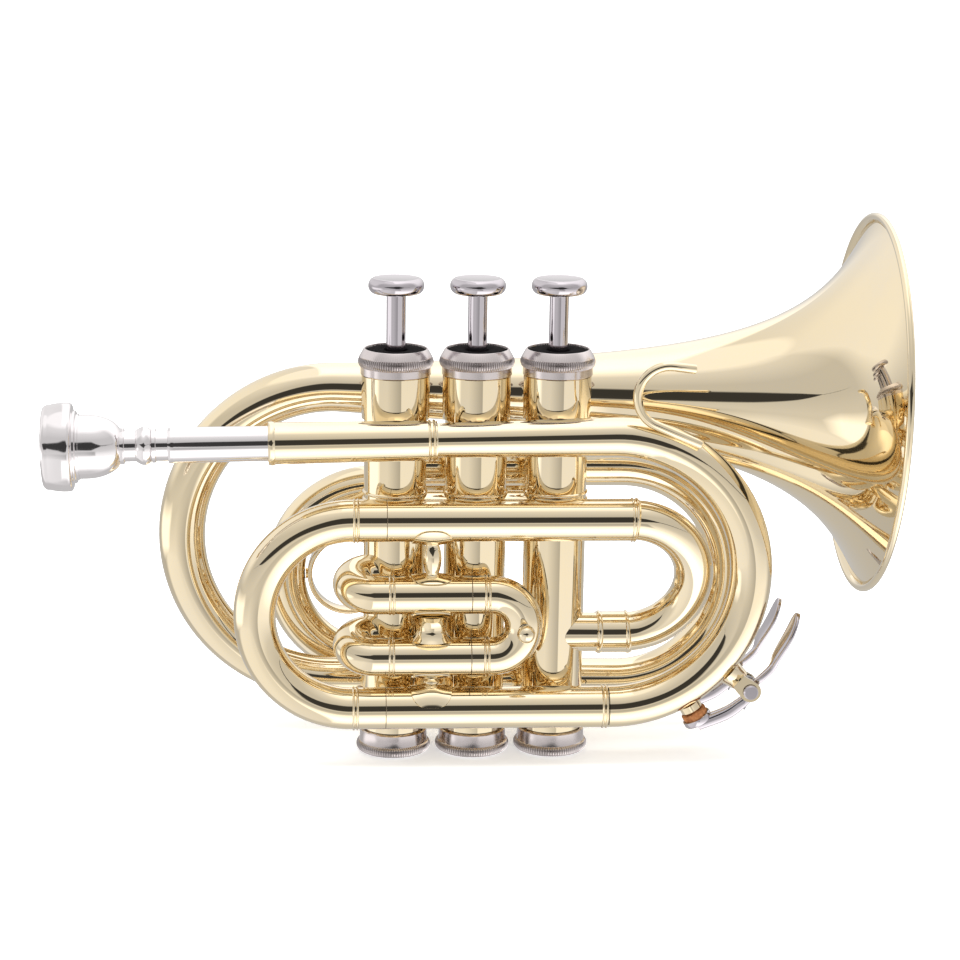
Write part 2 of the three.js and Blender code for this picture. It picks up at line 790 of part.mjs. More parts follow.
function upperRun() {
  const path = route([point(tuningSplitX + fitGap, frontY, upperRunZ),
    point(smallBowStartX - fitGap, frontY, upperRunZ)], []);
  return tube(path, [[0, runRadius]], [[0, runBore]], tubeSides);
}

function tuningSlide() {
  const path = uPath(point(tuningTipX, frontY, upperRunZ), point(tuningTurnX, frontY, upperRunZ),
    point(tuningTurnX, frontY, lowerRunZ), point(tuningTipX, frontY, lowerRunZ));
  const leg = tuningTipX - tuningSplitX;
  const sleeve = tuningSplitX - tuningFerruleX - tuningFerruleWidth;
  return crook(path, leg, sleeve, tuningFerruleWidth, runRadius, runBore - fitGap);
}

// Receiver: a tapered socket with a ring at each end
const pipeDirection = point(Math.cos(pipeRise), 0, Math.sin(pipeRise));
const onPipe = (x) => point(x, frontY, leadpipeZAt(x));
const pipeLength = (fromX, toX) => (toX - fromX) / Math.cos(pipeRise);

function receiver() {
  const path = route([onPipe(receiverMouthX), onPipe(receiverEndX)], []);
  const taperEnd = path.length - receiverRingWidth;
  const outer = [
    [0, receiverMouthRadius + receiverRingRise], [receiverRingWidth, receiverMouthRadius + receiverRingRise],
    [receiverRingWidth, receiverMouthRadius], [taperEnd, receiverEndRadius],
    [taperEnd, receiverEndRadius + receiverRingRise / 2],
  ];
  const seat = leadStartRadius + fitGap;
  const bore = [[0, receiverMouthBore], [shankInsertion, shankTipRadius + fitGap],
    [shankInsertion, seat], [path.length, seat]];
  return tube(path, outer, bore, tubeSides);
}

// Leadpipe and the large bow that turns it back under the valves, with the water key's nipple
function leadpipeBow() {
  const path = uPath(onPipe(leadStartX), onPipe(leadBowReachX), point(leadBowReachX, frontY, lowerRunZ),
    point(lowerRunEndX + fitGap, frontY, lowerRunZ));
  const outer = [
    [0, leadStartRadius], [pipeLength(leadStartX, leadNeckX), leadStartRadius],
    [pipeLength(leadStartX, leadMiddleX), leadMiddleRadius],
    [pipeLength(leadStartX, bowFullX), leadBowRadius],
  ];
  const bore = outer.map(([at, radius]) => [at, radius - tubeWall]);
  return tube(path, outer, bore, boreSides, [nipple(frontKey)]).subtract(nippleHole(frontKey));
}

// Mouthpiece: rim, cup, turned collars and tapered shank round a cup, throat and backbore
function mouthpiece() {
  const mouthX = receiverMouthX - shankShownEnd * Math.cos(pipeRise);
  const end = shankShownEnd + shankInsertion - fitGap;
  const curve = (share) => bandRadius + (cupEndRadius - bandRadius) * (1 - Math.cos(share * Math.PI / 2));
  const outer = [
    [rimRadius - rimRounding, 0], [rimRadius, rimRounding], [rimRadius, rimLength - rimRounding / 2],
    [ridgeRadius, rimLength], [ridgeRadius, ridgeEnd], [bandRadius, ridgeEnd],
  ];
  for (let i = 0; i <= cupRings; i += 1) {
    outer.push([curve(i / cupRings), bandEnd + ((cupEnd - bandEnd) * i) / cupRings]);
  }
  outer.push(
    [collarRadius, cupEnd], [collarRadius, collarEnd], [neckRadius, collarEnd], [neckRadius, neckEnd],
    [beadOuterRadius, neckEnd + beadRounding],
    [beadOuterRadius, beadEnd - beadRounding], [neckRadius, beadEnd],
    [secondCollarRadius, beadEnd], [secondCollarRadius, secondCollarEnd],
    [neckRadius, secondCollarEnd], [neckRadius, secondNeckEnd],
    [shankRadius, secondNeckEnd], [shankRadius, shankCollarEnd],
    [shankMouthRadius, shankShownEnd], [shankTipRadius, end],
  );
  const inner = [[shankBore, end], [throatRadius, cupDepth + throatLength], [throatRadius, cupDepth]];
  for (let i = 1; i <= cupRings; i += 1) {
    const angle = (Math.PI / 2) * (i / cupRings);
    inner.push([throatRadius + (cupMouthRadius - throatRadius) * Math.sin(angle),
      cupDepth * Math.cos(angle) + (rimRounding / 2) * Math.sin(angle)]);
  }
  inner.push([cupMouthRadius + rimRounding, 0]);
  return revolve([...outer, ...inner], cupSides, onPipe(mouthX), pipeDirection);
}

// Small bow from the upper run into the third valve, in a leaning plane
function smallBow() {
  const path = uPath(point(smallBowStartX, frontY, upperRunZ), point(smallBowReachX, frontY, upperRunZ),
    point(smallBowReachX, smallBowEndY, smallBowEndZ), point(thirdX, smallBowEndY, smallBowEndZ));
  const bandStart = path.length - (sleeveBandX + sleeveBandLength - thirdX);
  const bandFar = bandStart + sleeveBandLength - bandBeadWidth;
  const bandRadiusHere = smallBowRadius + sleeveBandRise;
  const outer = [
    [0, runRadius + ferruleRise], [smallBowFerruleWidth, runRadius + ferruleRise],
    [smallBowFerruleWidth, smallBowRadius], [bandStart, smallBowRadius],
    [bandStart, bandRadiusHere + bandBeadRise], [bandStart + bandBeadWidth, bandRadiusHere + bandBeadRise],
    [bandStart + bandBeadWidth, bandRadiusHere], [bandFar, bandRadiusHere],
    [bandFar, bandRadiusHere + bandBeadRise], [bandFar + bandBeadWidth, bandRadiusHere + bandBeadRise],
    [bandFar + bandBeadWidth, smallBowRadius],
  ];
  return tube(path, outer, [[0, smallBowRadius - bowWall]]).subtract(casingCutter(thirdX));
}

// The room for a slide's leg, from the end of a tube that lies along X to a place inside it
function socket(path, inner, radius) {
  const ends = [along(path, 0).place, along(path, path.length).place];
  const mouth = ends.find((end) => end.y === inner.y && end.z === inner.z);
  const outwards = mouth.clone().sub(inner).normalize();
  const reach = mouth.clone().addScaledVector(outwards, cutOverrun);
  const line = route([inner, reach], []);
  return sweep(line, [[0, radius], [line.length, radius]], tubeSides);
}

// First slide: two knuckles wrap back into the casing, and the crook pulls towards the bell
function firstTube(z) {
  const turnB = point(firstTurnX, firstKnuckleY, z + firstKnuckleRise);
  const path = uPath(point(firstSplitX - fitGap, frontY, z), point(firstTurnX, frontY, z),
    turnB, point(firstX, firstKnuckleY, z + firstKnuckleRise));
  const ferrule = firstSplitX - fitGap - firstFerruleX - firstFerruleWidth;
  const outer = [[0, firstRadius], ...band(ferrule, firstFerruleWidth, firstRadius, ferruleRise)];
  const socketEnd = point(firstFerruleX, frontY, z);
  return tube(path, outer, [[0, firstBore - tubeWall]]).subtract(socket(path, socketEnd, firstBore))
    .subtract(casingCutter(firstX));
}

function firstSlide() {
  const path = uPath(point(firstTipX, frontY, firstUpperZ), point(firstReachX, frontY, firstUpperZ),
    point(firstReachX, frontY, firstLowerZ), point(firstTipX, frontY, firstLowerZ));
  return crook(path, firstSplitX - firstTipX, firstSlideFerruleX - firstSplitX, firstFerruleWidth,
    firstRadius, firstBore - fitGap);
}

// Pull knob: a ball on a short foot on the front of the first slide's bow
function firstKnob() {
  const z = (firstUpperZ + firstLowerZ) / 2;
  const surface = frontY - firstRadius - fitGap;
  const centre = point(firstReachX, surface - knobStemLength - knobRadius * knobSeatShare, z);
  const ball = solid(new THREE.SphereGeometry(knobRadius, smallSides, smallSides / 2)
    .translate(centre.x, centre.y, centre.z));
  return ball.add(rod(centre, point(firstReachX, surface, z), knobStemRadius, smallSides));
}

// Second slide: straight tubes out of the second valve towards the bell side
function secondTube(z) {
  const path = route([point(secondX, 0, z), point(secondX, secondSplitY - fitGap, z)], []);
  return tube(path, [[0, secondRadius]], [[0, secondBore]], tubeSides).subtract(casingCutter(secondX));
}

function secondSlide() {
  const path = uPath(point(secondX, secondTipY, secondUpperZ), point(secondX, secondReachY, secondUpperZ),
    point(secondX, secondReachY, secondLowerZ), point(secondX, secondTipY, secondLowerZ));
  return crook(path, secondSplitY - secondTipY, secondFerruleY - secondSplitY, secondFerruleWidth,
    secondRadius, secondBore - fitGap);
}

// Third slide: knuckles step out behind the bell, and the crook pulls away from the bell
function thirdTube(portZ, z) {
  const path = route([point(thirdX, 0, portZ), point(thirdX, thirdY, portZ), point(thirdX, thirdY, z),
    point(thirdSplitX + fitGap, thirdY, z)], [thirdKnuckleRadius, thirdKnuckleRadius]);
  const socketEnd = point(thirdX - thirdKnuckleRadius, thirdY, z);
  return tube(path, [[0, thirdRadius]], [[0, thirdBore - bowWall]])
    .subtract(socket(path, socketEnd, thirdBore)).subtract(casingCutter(thirdX));
}

function thirdSlide() {
  const path = uPath(point(thirdTipX, thirdY, thirdUpperZ), point(thirdReachX, thirdY, thirdUpperZ),
    point(thirdReachX, thirdY, thirdLowerZ), point(thirdTipX, thirdY, thirdLowerZ));
  const sleeve = thirdSplitX - thirdFerruleX - thirdFerruleWidth;
  return crook(path, thirdTipX - thirdSplitX, sleeve, thirdFerruleWidth, thirdRadius, thirdBore - fitGap);
}

// Finger ring inside the third slide's bow, carried by a lug on the bow
function fingerRing() {
  const half = fingerRingWidth / 2;
  const soft = fingerRingRounding;
  const inner = fingerRingRadius - fingerRingBand;
  const ring = revolve([[inner, soft - half], [inner + soft, -half], [fingerRingRadius - soft, -half],
    [fingerRingRadius, soft - half], [fingerRingRadius, half - soft], [fingerRingRadius - soft, half],
    [inner + soft, half], [inner, half - soft]], cupSides, point(fingerRingX, thirdY, fingerRingZ), axisY);
  const bowCentre = (thirdUpperZ + thirdLowerZ) / 2;
  const lugFrom = point(fingerRingX - fingerRingRadius + fingerRingBand / 2, thirdY, fingerRingZ);
  const lug = rod(lugFrom, point(thirdReachX, thirdY, bowCentre), ringLugRadius, smallSides);
  const bow = uPath(point(thirdTipX, thirdY, thirdUpperZ), point(thirdReachX, thirdY, thirdUpperZ),
    point(thirdReachX, thirdY, thirdLowerZ), point(thirdTipX, thirdY, thirdLowerZ));
  const clear = thirdRadius + fitGap;
  return ring.add(lug).subtract(sweep(bow, [[0, clear], [bow.length, clear]], tubeSides));
}

// Rear bow: out of the first valve, behind the valves, round the right and back along the bottom
function rearBow() {
  const lowZ = rearLowerZAt(rearBowReachX);
  const bend = (rearUpperZ - lowZ) / (1 + Math.tan((Math.PI / 2 + rearLowerTilt) / 2));
  const path = route([point(firstX, 0, rearUpperZ), point(firstX, rearY, rearUpperZ),
    point(rearBowReachX, rearY, rearUpperZ), point(rearBowReachX, rearY, lowZ),
    point(bellJointX + fitGap, rearY, rearLowerZAt(bellJointX + fitGap))],
  [rearElbowRadius, bend, bend]);
  const outer = [[0, rearRadius], [path.length - bellJointWidth, rearRadius],
    [path.length - bellJointWidth, rearRadius + ferruleRise]];
  return tube(path, outer, [[0, rearRadius - bowWall]], boreSides, [nipple(rearKey)])
    .subtract(casingCutter(firstX)).subtract(nippleHole(rearKey));
}

// Bell: an expanding bow and a flare whose radius grows as one over the distance to the rim
function bell() {
  const from = point(bellJointX, rearY, rearLowerZAt(bellJointX));
  const turnA = point(bellBowReachX, rearY, rearLowerZAt(bellBowReachX));
  const turnB = point(bellBowReachX, rearY, bellAxisZAt(bellBowReachX));
  const rim = point(bellRimX, rearY, bellAxisZAt(bellRimX));
  const path = uPath(from, turnA, turnB, rim);
  const flareStart = path.pieces[path.pieces.length - 1].at;
  const flareLength = path.length - flareStart;
  const knots = [[0, rearRadius], [path.pieces[1].at, rearRadius]];
  for (let i = 0; i <= bellRings; i += 1) {
    const distance = flareLength * (1 - i / bellRings) ** bellRingShare;
    knots.push([path.length - distance, bellRadiusAt(distance)]);
  }
  const bore = knots.map(([at, radius]) => [at, radius - bellWall]);
  const inner = sweep(path, bore, bellSides, cutOverrun, 0);
  const body = knots.filter(([at]) => at < path.length - 2 * bellWireRadius);
  for (let i = 0; i <= bellWireSteps; i += 1) {
    const angle = Math.PI * (1 - i / bellWireSteps);
    body.push([path.length + bellWireRadius * (Math.cos(angle) - 1),
      bellRimRadius - bellWall / 2 + bellWireRadius * Math.sin(angle)]);
  }
  return sweep(path, body, bellSides, 0, 0).subtract(inner);
}

// Saddle foot that wraps a tube along X, on the side that faces a post
function saddle(x, tubeZ, tubeY, radius, facing) {
  const shellOuter = rod(point(x - footRadius - cutOverrun, tubeY, tubeZ),
    point(x + footRadius + cutOverrun, tubeY, tubeZ), radius + fitGap + footThickness, tubeSides);
  const reach = radius + fitGap + footThickness + cutOverrun;
  const middle = point(x, tubeY, tubeZ);
  const end = point(x, tubeY, tubeZ + facing * reach);
  return shellOuter.intersect(rod(middle, end, footRadius * saddleShare, smallSides));
}

// Turned baluster post between two tubes one above the other
function frontPost(upperZ, upperRadius, lowerZ, lowerRadius) {
  const low = lowerZ + lowerRadius;
  const high = upperZ - upperRadius;
  const middle = (low + high) / 2;
  const quarter = (high - low) / 4;
  const place = point(braceX, frontY, 0);
  const post = revolve([[0, lowerZ], [balusterNeck, lowerZ], [balusterNeck, middle - quarter],
    [balusterRadius, middle - quarter / 2], [balusterRadius, middle + quarter / 2],
    [balusterNeck, middle + quarter], [balusterNeck, upperZ], [0, upperZ]], smallSides, place);
  const feet = saddle(braceX, upperZ, frontY, upperRadius, -1)
    .add(saddle(braceX, lowerZ, frontY, lowerRadius, 1));
  const clearOf = (z, radius) => rod(point(braceX - valveSpacing, frontY, z),
    point(braceX + valveSpacing, frontY, z), radius + fitGap, tubeSides);
  return post.add(feet).subtract(clearOf(upperZ, upperRadius)).subtract(clearOf(lowerZ, lowerRadius));
}

// Short post with flared feet that runs along Y between a casing and a tube behind it
function rearPost(x, z, valve, casingSide, tubeRadius, tubeY) {
  const start = casingSide / 2;
  const near = casingSide + fitGap;
  const far = tubeY - tubeRadius - fitGap;
  const post = revolve([[0, start], [postFootRadius, start], [postFootRadius, near + postFootHeight / 2],
    [postNeckRadius, near + postFootHeight], [postNeckRadius, far - postFootHeight],
    [postFootRadius, far - postFootHeight / 2], [postFootRadius, tubeY], [0, tubeY]],
  smallSides, point(x, 0, z), axisY);
  const wall = rod(point(valve, 0, 0), point(valve, 0, capPlaneZ), casingSide + fitGap, tubeSides * 2);
  const [left, right] = [point(x - valveSpacing, tubeY, z), point(x + valveSpacing, tubeY, z)];
  const pipe = rod(left, right, tubeRadius + fitGap, tubeSides * 2);
  return post.subtract(wall).subtract(pipe);
}

// Little finger hook: a rod bent to a C, whose straight foot is filed to lie on the large bow
function pinkyHook() {
  const clear = leadBowRadius + hookWire + fitGap;
  const ride = leadBowBend + Math.sqrt(clear ** 2 - hookLean ** 2);
  const onBow = (aside) => lowerRunZ + leadBowBend + Math.sqrt(ride ** 2 - aside ** 2);
  const at = (aside, z) => point(leadBowX + aside, frontY - hookLean, z);
  const footZ = onBow(hookFoot);
  const slope = (onBow(hookHeel) - footZ) / (hookFoot - hookHeel);
  const cornerZ = footZ + slope * (hookFoot - hookLeft);
  const topZ = onBow(hookHeel) + hookHeight;
  const path = uPath(at(hookFoot, footZ), at(hookLeft, cornerZ), at(hookLeft, topZ),
    at(hookTip, topZ - hookTipDrop));
  const bar = sweep(path, [[0, hookWire], [path.length, hookWire]], hookSides);
  return bar.subtract(bowCutter(frontKey, Math.PI / 2));
}

// Water key frames: the bow's centre, its radius and the tube's radius
const rearBowBend = (rearUpperZ - rearLowerZAt(rearBowReachX))
  / (1 + Math.tan((Math.PI / 2 + rearLowerTilt) / 2));

function keyFrame(centreX, centreZ, y, bowRadius, tubeRadius) {
  const surface = bowRadius + tubeRadius;
  const radial = (angle) => point(Math.cos(angle), 0, Math.sin(angle));
  const centre = point(centreX, y, centreZ);
  const nippleAngle = keyPostAngle - nippleDistance / surface;
  const out = radial(nippleAngle);
  const up = radial(keyPostAngle);
  return {
    centre, y, surface, tubeRadius, bowRadius, out, up,
    pivot: centre.clone().addScaledVector(up, surface + pivotHeight),
    nippleTop: centre.clone().addScaledVector(out, surface + nippleHeight),
  };
}

const frontKey = keyFrame(leadBowX, lowerRunZ + leadBowBend, frontY, leadBowBend, leadBowRadius);
const rearKey = keyFrame(rearBowReachX - rearBowBend, rearUpperZ - rearBowBend, rearY, rearBowBend,
  rearRadius);

function nipple(key) {
  const base = key.centre.clone().addScaledVector(key.out, key.surface - nippleRadius);
  return rod(base, key.nippleTop, nippleRadius, smallSides);
}

function nippleHole(key) {
  const from = key.centre.clone().addScaledVector(key.out, key.bowRadius);
  return rod(from, key.nippleTop.clone().addScaledVector(key.out, cutOverrun), nippleBore, smallSides / 2);
}

function keyCork(key) {
  const from = key.nippleTop.clone().addScaledVector(key.out, fitGap);
  return rod(from, from.clone().addScaledVector(key.out, corkThickness), corkRadius, tubeSides);
}

// The stretch of bow, around an angle, that a post or the hook must stay clear of
function bowCutter(key, angleOfMiddle) {
  const from = angleOfMiddle - Math.PI / 4;
  const turn = Math.PI / 2;
  const sections = [];
  for (let i = 0; i <= cutterSteps; i += 1) {
    const angle = from + (turn * i) / cutterSteps;
    const out = point(Math.cos(angle), 0, Math.sin(angle));
    sections.push({
      place: key.centre.clone().addScaledVector(out, key.bowRadius),
      direction: point(-Math.sin(angle), 0, Math.cos(angle)),
      radius: key.tubeRadius + fitGap,
    });
  }
  return skin(sections, tubeSides);
}

// Forked post: a turned base on the bow and two ears that carry the hinge screw
function keyPost(key) {
  const half = keyBarrelLength / 2 + fitGap;
  const base = key.centre.clone().addScaledVector(key.up, key.bowRadius);
  const forkBase = key.tubeRadius + pivotHeight - earRadius - fitGap;
  let body = revolve([[0, 0], [keyPostRadius, 0], [keyPostRadius, key.tubeRadius + pivotHeight / 4],
    [keyPostTopRadius, forkBase], [0, forkBase]], smallSides, base, key.up);
  const bridge = base.clone().addScaledVector(key.up, forkBase - earThickness);
  const bridgeTop = base.clone().addScaledVector(key.up, forkBase);
  const spread = axisY.clone().multiplyScalar(half + earThickness);
  body = body.add(slab(bridge, bridgeTop, spread, earRadius * forkShare));
  [-1, 1].forEach((side) => {
    const inner = key.pivot.clone().addScaledVector(axisY, side * half);
    const outer = key.pivot.clone().addScaledVector(axisY, side * (half + earThickness));
    const ear = rod(inner, outer, earRadius, smallSides);
    const neckFrom = bridge.clone().addScaledVector(axisY, side * (half + earThickness / 2));
    const neckTo = key.pivot.clone().addScaledVector(axisY, side * (half + earThickness / 2));
    const halfEar = axisY.clone().multiplyScalar(earThickness / 2);
    const neck = slab(neckFrom, neckTo, halfEar, earRadius * earNeckShare);
    body = body.add(ear).add(neck);
  });
  const pin = axisY.clone().multiplyScalar(half + earThickness + cutOverrun);
  const bore = rod(key.pivot.clone().sub(pin), key.pivot.clone().add(pin), pivotPinRadius + fitGap,
    smallSides);
  return body.subtract(bore).subtract(bowCutter(key, keyPostAngle));
}

// A flat bar between two points, with half its width along Y and half its thickness across
function slab(from, to, halfWidth, halfThickness) {
  const direction = to.clone().sub(from);
  const length = direction.length();
  const shape = new THREE.Shape();
  shape.moveTo(-halfThickness, -halfWidth.length());
  shape.lineTo(halfThickness, -halfWidth.length());
  shape.lineTo(halfThickness, halfWidth.length());
  shape.lineTo(-halfThickness, halfWidth.length());
  shape.closePath();
  const bar = new THREE.ExtrudeGeometry(shape, { depth: length, bevelEnabled: false });
  const z = direction.clone().normalize();
  const x = axisY.clone().cross(z).normalize();
  bar.applyMatrix4(new THREE.Matrix4().makeBasis(x, axisY, z).setPosition(from));
  return solid(bar);
}

// Lever: cork cup, arched arm, hinge barrel and a spoon-shaped paddle.
// The arm leaves half of the barrel free for the spring's turns.
const armOffset = axisY.clone().multiplyScalar((keyArmWidth - keyBarrelLength) / 2);

function waterKey(key) {
  const cupSeat = key.nippleTop.clone().addScaledVector(key.out, fitGap + corkThickness + fitGap);
  const rimDrop = cupLip + fitGap;
  const recess = corkRadius + fitGap;
  const cup = revolve([[0, 0], [recess, 0], [recess, -rimDrop], [cupRadius, -rimDrop],
    [cupRadius, cupBase / 2], [cupRadius - cupBase / 2, cupBase], [0, cupBase]], tubeSides, cupSeat, key.out);
  const half = axisY.clone().multiplyScalar(keyBarrelLength / 2);
  const barrel = rod(key.pivot.clone().sub(half), key.pivot.clone().add(half), pivotBarrelRadius, smallSides);
  const root = key.pivot.clone().add(armOffset);
  const armEnd = cupSeat.clone().addScaledVector(key.out, keyArmThickness / 2).add(armOffset);
  const outward = key.out.clone().add(key.up).normalize();
  const armKnee = armEnd.clone().add(root).multiplyScalar(0.5).addScaledVector(outward, keyArmThickness);
  const narrow = keyArmWidth / 2;
  const arm = leverStrip([armEnd, armKnee, root], [narrow, narrow, narrow], keyArmThickness);
  const leaning = (angle, length) => point(Math.cos(angle), 0, Math.sin(angle)).multiplyScalar(length);
  const knee = root.clone().add(leaning(paddleStartLean, paddleLength * paddleSpreadShare));
  const middle = knee.clone().add(leaning(paddleLean, paddleLength * (paddleKneeShare - paddleSpreadShare)))
    .sub(armOffset);
  const tip = middle.clone().add(leaning(paddleLean, paddleLength * (1 - paddleKneeShare)));
  const paddle = leverStrip([root, knee, middle, tip], [narrow, narrow, paddleWidth / 2, paddleWidth / 3],
    paddleThickness);
  const pin = half.clone().multiplyScalar(2);
  const bore = rod(key.pivot.clone().sub(pin), key.pivot.clone().add(pin), pivotPinRadius + fitGap,
    smallSides);
  return cup.add(arm).add(barrel).add(paddle).subtract(bore);
}

// A strip of even thickness through points in a plane of constant Y, with a half width at each point
function leverStrip(points, halfWidths, thickness) {
  const positions = [];
  const index = [];
  points.forEach((spot, i) => {
    const before = points[Math.max(i - 1, 0)];
    const after = points[Math.min(i + 1, points.length - 1)];
    const direction = after.clone().sub(before).normalize();
    const across = axisY.clone().cross(direction).multiplyScalar(thickness / 2);
    [[1, 1], [-1, 1], [-1, -1], [1, -1]].forEach(([side, face]) => {
      const corner = spot.clone().addScaledVector(axisY, side * halfWidths[i]).addScaledVector(across, face);
      positions.push(corner.x, corner.y, corner.z);
    });
  });
  const rows = points.length;
  for (let row = 0; row < rows - 1; row += 1) {
    for (let k = 0; k < 4; k += 1) {
      const next = (k + 1) % 4;
      const [low, high] = [row * 4, (row + 1) * 4];
      index.push(low + k, low + next, high + next, low + k, high + next, high + k);
    }
  }
  const end = (rows - 1) * 4;
  index.push(0, 2, 1, 0, 3, 2, end, end + 1, end + 2, end, end + 2, end + 3);
  const geometry = new THREE.BufferGeometry();
  geometry.setAttribute('position', new THREE.Float32BufferAttribute(positions, 3));
  geometry.setIndex(index);
  return solid(geometry);
}

// Slotted screw that is the lever's hinge pin
function keyScrew(key) {
  const half = keyBarrelLength / 2 + fitGap + earThickness;
  const headFace = half + fitGap + screwHeadThickness;
  const place = key.pivot;
  const pin = revolve([[0, -headFace], [screwHeadRadius, -headFace], [screwHeadRadius, -half - fitGap],
    [pivotPinRadius, -half - fitGap], [pivotPinRadius, half], [0, half]], smallSides, place, axisY);
  const slotHalf = point(screwSlotWidth / 2, 0, screwHeadRadius + cutOverrun);
  const face = place.y - headFace;
  return pin.subtract(block(
    point(place.x - slotHalf.x, face - cutOverrun, place.z - slotHalf.z),
    point(place.x + slotHalf.x, face + screwSlotDepth, place.z + slotHalf.z),
  ));
}

// Torsion spring round the hinge barrel, with one leg on the bow side and one under the paddle
function keySpring(key) {
  const radius = pivotBarrelRadius + keySpringGap + keyWire;
  const start = key.pivot.clone().addScaledVector(axisY, keyBarrelLength / 2 - fitGap - keyWire
    - keySpringPitch * keySpringTurns);
  const side = point(Math.cos(paddleLean), 0, Math.sin(paddleLean)).cross(axisY).negate();
  return coil(start, axisY, side, radius, keyWire, keySpringTurns, keySpringPitch,
    [{ atStart: false, length: keySpringLeg }]);
}

// Finishes
const finish = (color, roughness, metalness) => new THREE.MeshStandardMaterial({
  color, roughness, metalness,
});
const lacqueredBrass = () => finish(0xe2b95c, 0.16, 1);
const silverPlate = () => finish(0xe6e6ea, 0.14, 1);
const nickelPlate = () => finish(0xb9b3b4, 0.25, 1);
const blackFelt = () => finish(0x151314, 0.95, 0);
const corkBrown = () => finish(0xb0683a, 0.9, 0);
const springSteel = () => finish(0x9a9a9e, 0.3, 1);

const trumpet = new THREE.Group();
function addPiece(name, body, material) {
  const mesh = new THREE.Mesh(geometryOf(body), material);
  mesh.name = name;
  trumpet.add(mesh);
}

addPiece('mouthpiece', mouthpiece(), silverPlate());
addPiece('receiver', receiver(), lacqueredBrass());
addPiece('leadpipe_bow', leadpipeBow(), lacqueredBrass());
addPiece('lower_run', lowerRun(), lacqueredBrass());
addPiece('upper_run', upperRun(), lacqueredBrass());
addPiece('tuning_slide', tuningSlide(), lacqueredBrass());
addPiece('small_bow', smallBow(), lacqueredBrass());
valveX.forEach((x, i) => {
  const number = i + 1;
  addPiece(`casing_${number}`, casing(i), lacqueredBrass());
  addPiece(`top_cap_${number}`, topCap(x), nickelPlate());
  addPiece(`cap_felt_${number}`, capFelt(x), blackFelt());
  addPiece(`bottom_cap_${number}`, bottomCap(x), nickelPlate());
  addPiece(`piston_${number}`, piston(i), nickelPlate());
  addPiece(`valve_guide_${number}`, guide(x), nickelPlate());
  addPiece(`valve_spring_${number}`, valveSpring(x), springSteel());
  addPiece(`finger_button_${number}`, button(x), nickelPlate());
});
addPiece('first_tube_upper', firstTube(firstUpperZ), lacqueredBrass());
addPiece('first_tube_lower', firstTube(firstLowerZ), lacqueredBrass());
addPiece('first_slide', firstSlide(), lacqueredBrass());
addPiece('first_slide_knob', firstKnob(), lacqueredBrass());
addPiece('second_tube_upper', secondTube(secondUpperZ), lacqueredBrass());
addPiece('second_tube_lower', secondTube(secondLowerZ), lacqueredBrass());
addPiece('second_slide', secondSlide(), lacqueredBrass());
addPiece('third_tube_upper', thirdTube(thirdUpperPortZ, thirdUpperZ), lacqueredBrass());
addPiece('third_tube_lower', thirdTube(thirdLowerPortZ, thirdLowerZ), lacqueredBrass());
addPiece('third_slide', thirdSlide(), lacqueredBrass());
addPiece('third_slide_ring', fingerRing(), lacqueredBrass());
addPiece('rear_bow', rearBow(), lacqueredBrass());
addPiece('bell', bell(), lacqueredBrass());
addPiece('upper_brace', frontPost(upperRunZ, runRadius, firstUpperZ, firstRadius), lacqueredBrass());
addPiece('middle_brace', frontPost(firstUpperZ, firstRadius, firstLowerZ, firstRadius), lacqueredBrass());
addPiece('lower_brace', frontPost(firstLowerZ, firstRadius, lowerRunZ, runRadius), lacqueredBrass());
addPiece('bell_brace', rearPost(bellPostX, bellPostZ, firstX, sleeveRadius,
  bellRadiusAt(bellRimX - bellPostX - 2 * postFootRadius), rearY), lacqueredBrass());
addPiece('rear_brace', rearPost(rearPostX, rearLowerZAt(rearPostX), secondX, casingRadius, rearRadius
  + ferruleRise, rearY), lacqueredBrass());
addPiece('pinky_hook', pinkyHook(), lacqueredBrass());
[['front', frontKey], ['rear', rearKey]].forEach(([side, key]) => {
  addPiece(`key_post_${side}`, keyPost(key), lacqueredBrass());
  addPiece(`water_key_${side}`, waterKey(key), nickelPlate());
  addPiece(`key_cork_${side}`, keyCork(key), corkBrown());
  addPiece(`key_screw_${side}`, keyScrew(key), nickelPlate());
  addPiece(`key_spring_${side}`, keySpring(key), springSteel());
});

const valvePitch = (pistonTopZ - barrelRoof - guideTopZ - 2 * (fitGap + springWireRadius)) / springTurns;
const valveGap = springGap(springRadius, springWireRadius, springTurns, valvePitch);
const keyCoilRadius = pivotBarrelRadius + keySpringGap + keyWire;
const keyGap = springGap(keyCoilRadius, keyWire, keySpringTurns, keySpringPitch);
console.log('least gap in a valve spring', valveGap.toFixed(2));
console.log('least gap in a key spring', keyGap.toFixed(2));

export default trumpet;
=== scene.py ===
# %% [markdown]
# # A pocket trumpet in lacquered brass
#
# A pocket trumpet has the same length of tubing as a full trumpet, wound tighter. Almost all of it is
# round tube, so two tools build nearly every piece: a sweep along a path of straight stretches and
# round bends, and a lathe. The finishes do the rest, because polished metal shows its surroundings
# more than itself.

# %% Load the measured frame
import bmesh
import bpy
import random
from math import copysign, cos, degrees, hypot, pi, radians, sin, sqrt, tan
from mathutils import Matrix, Vector


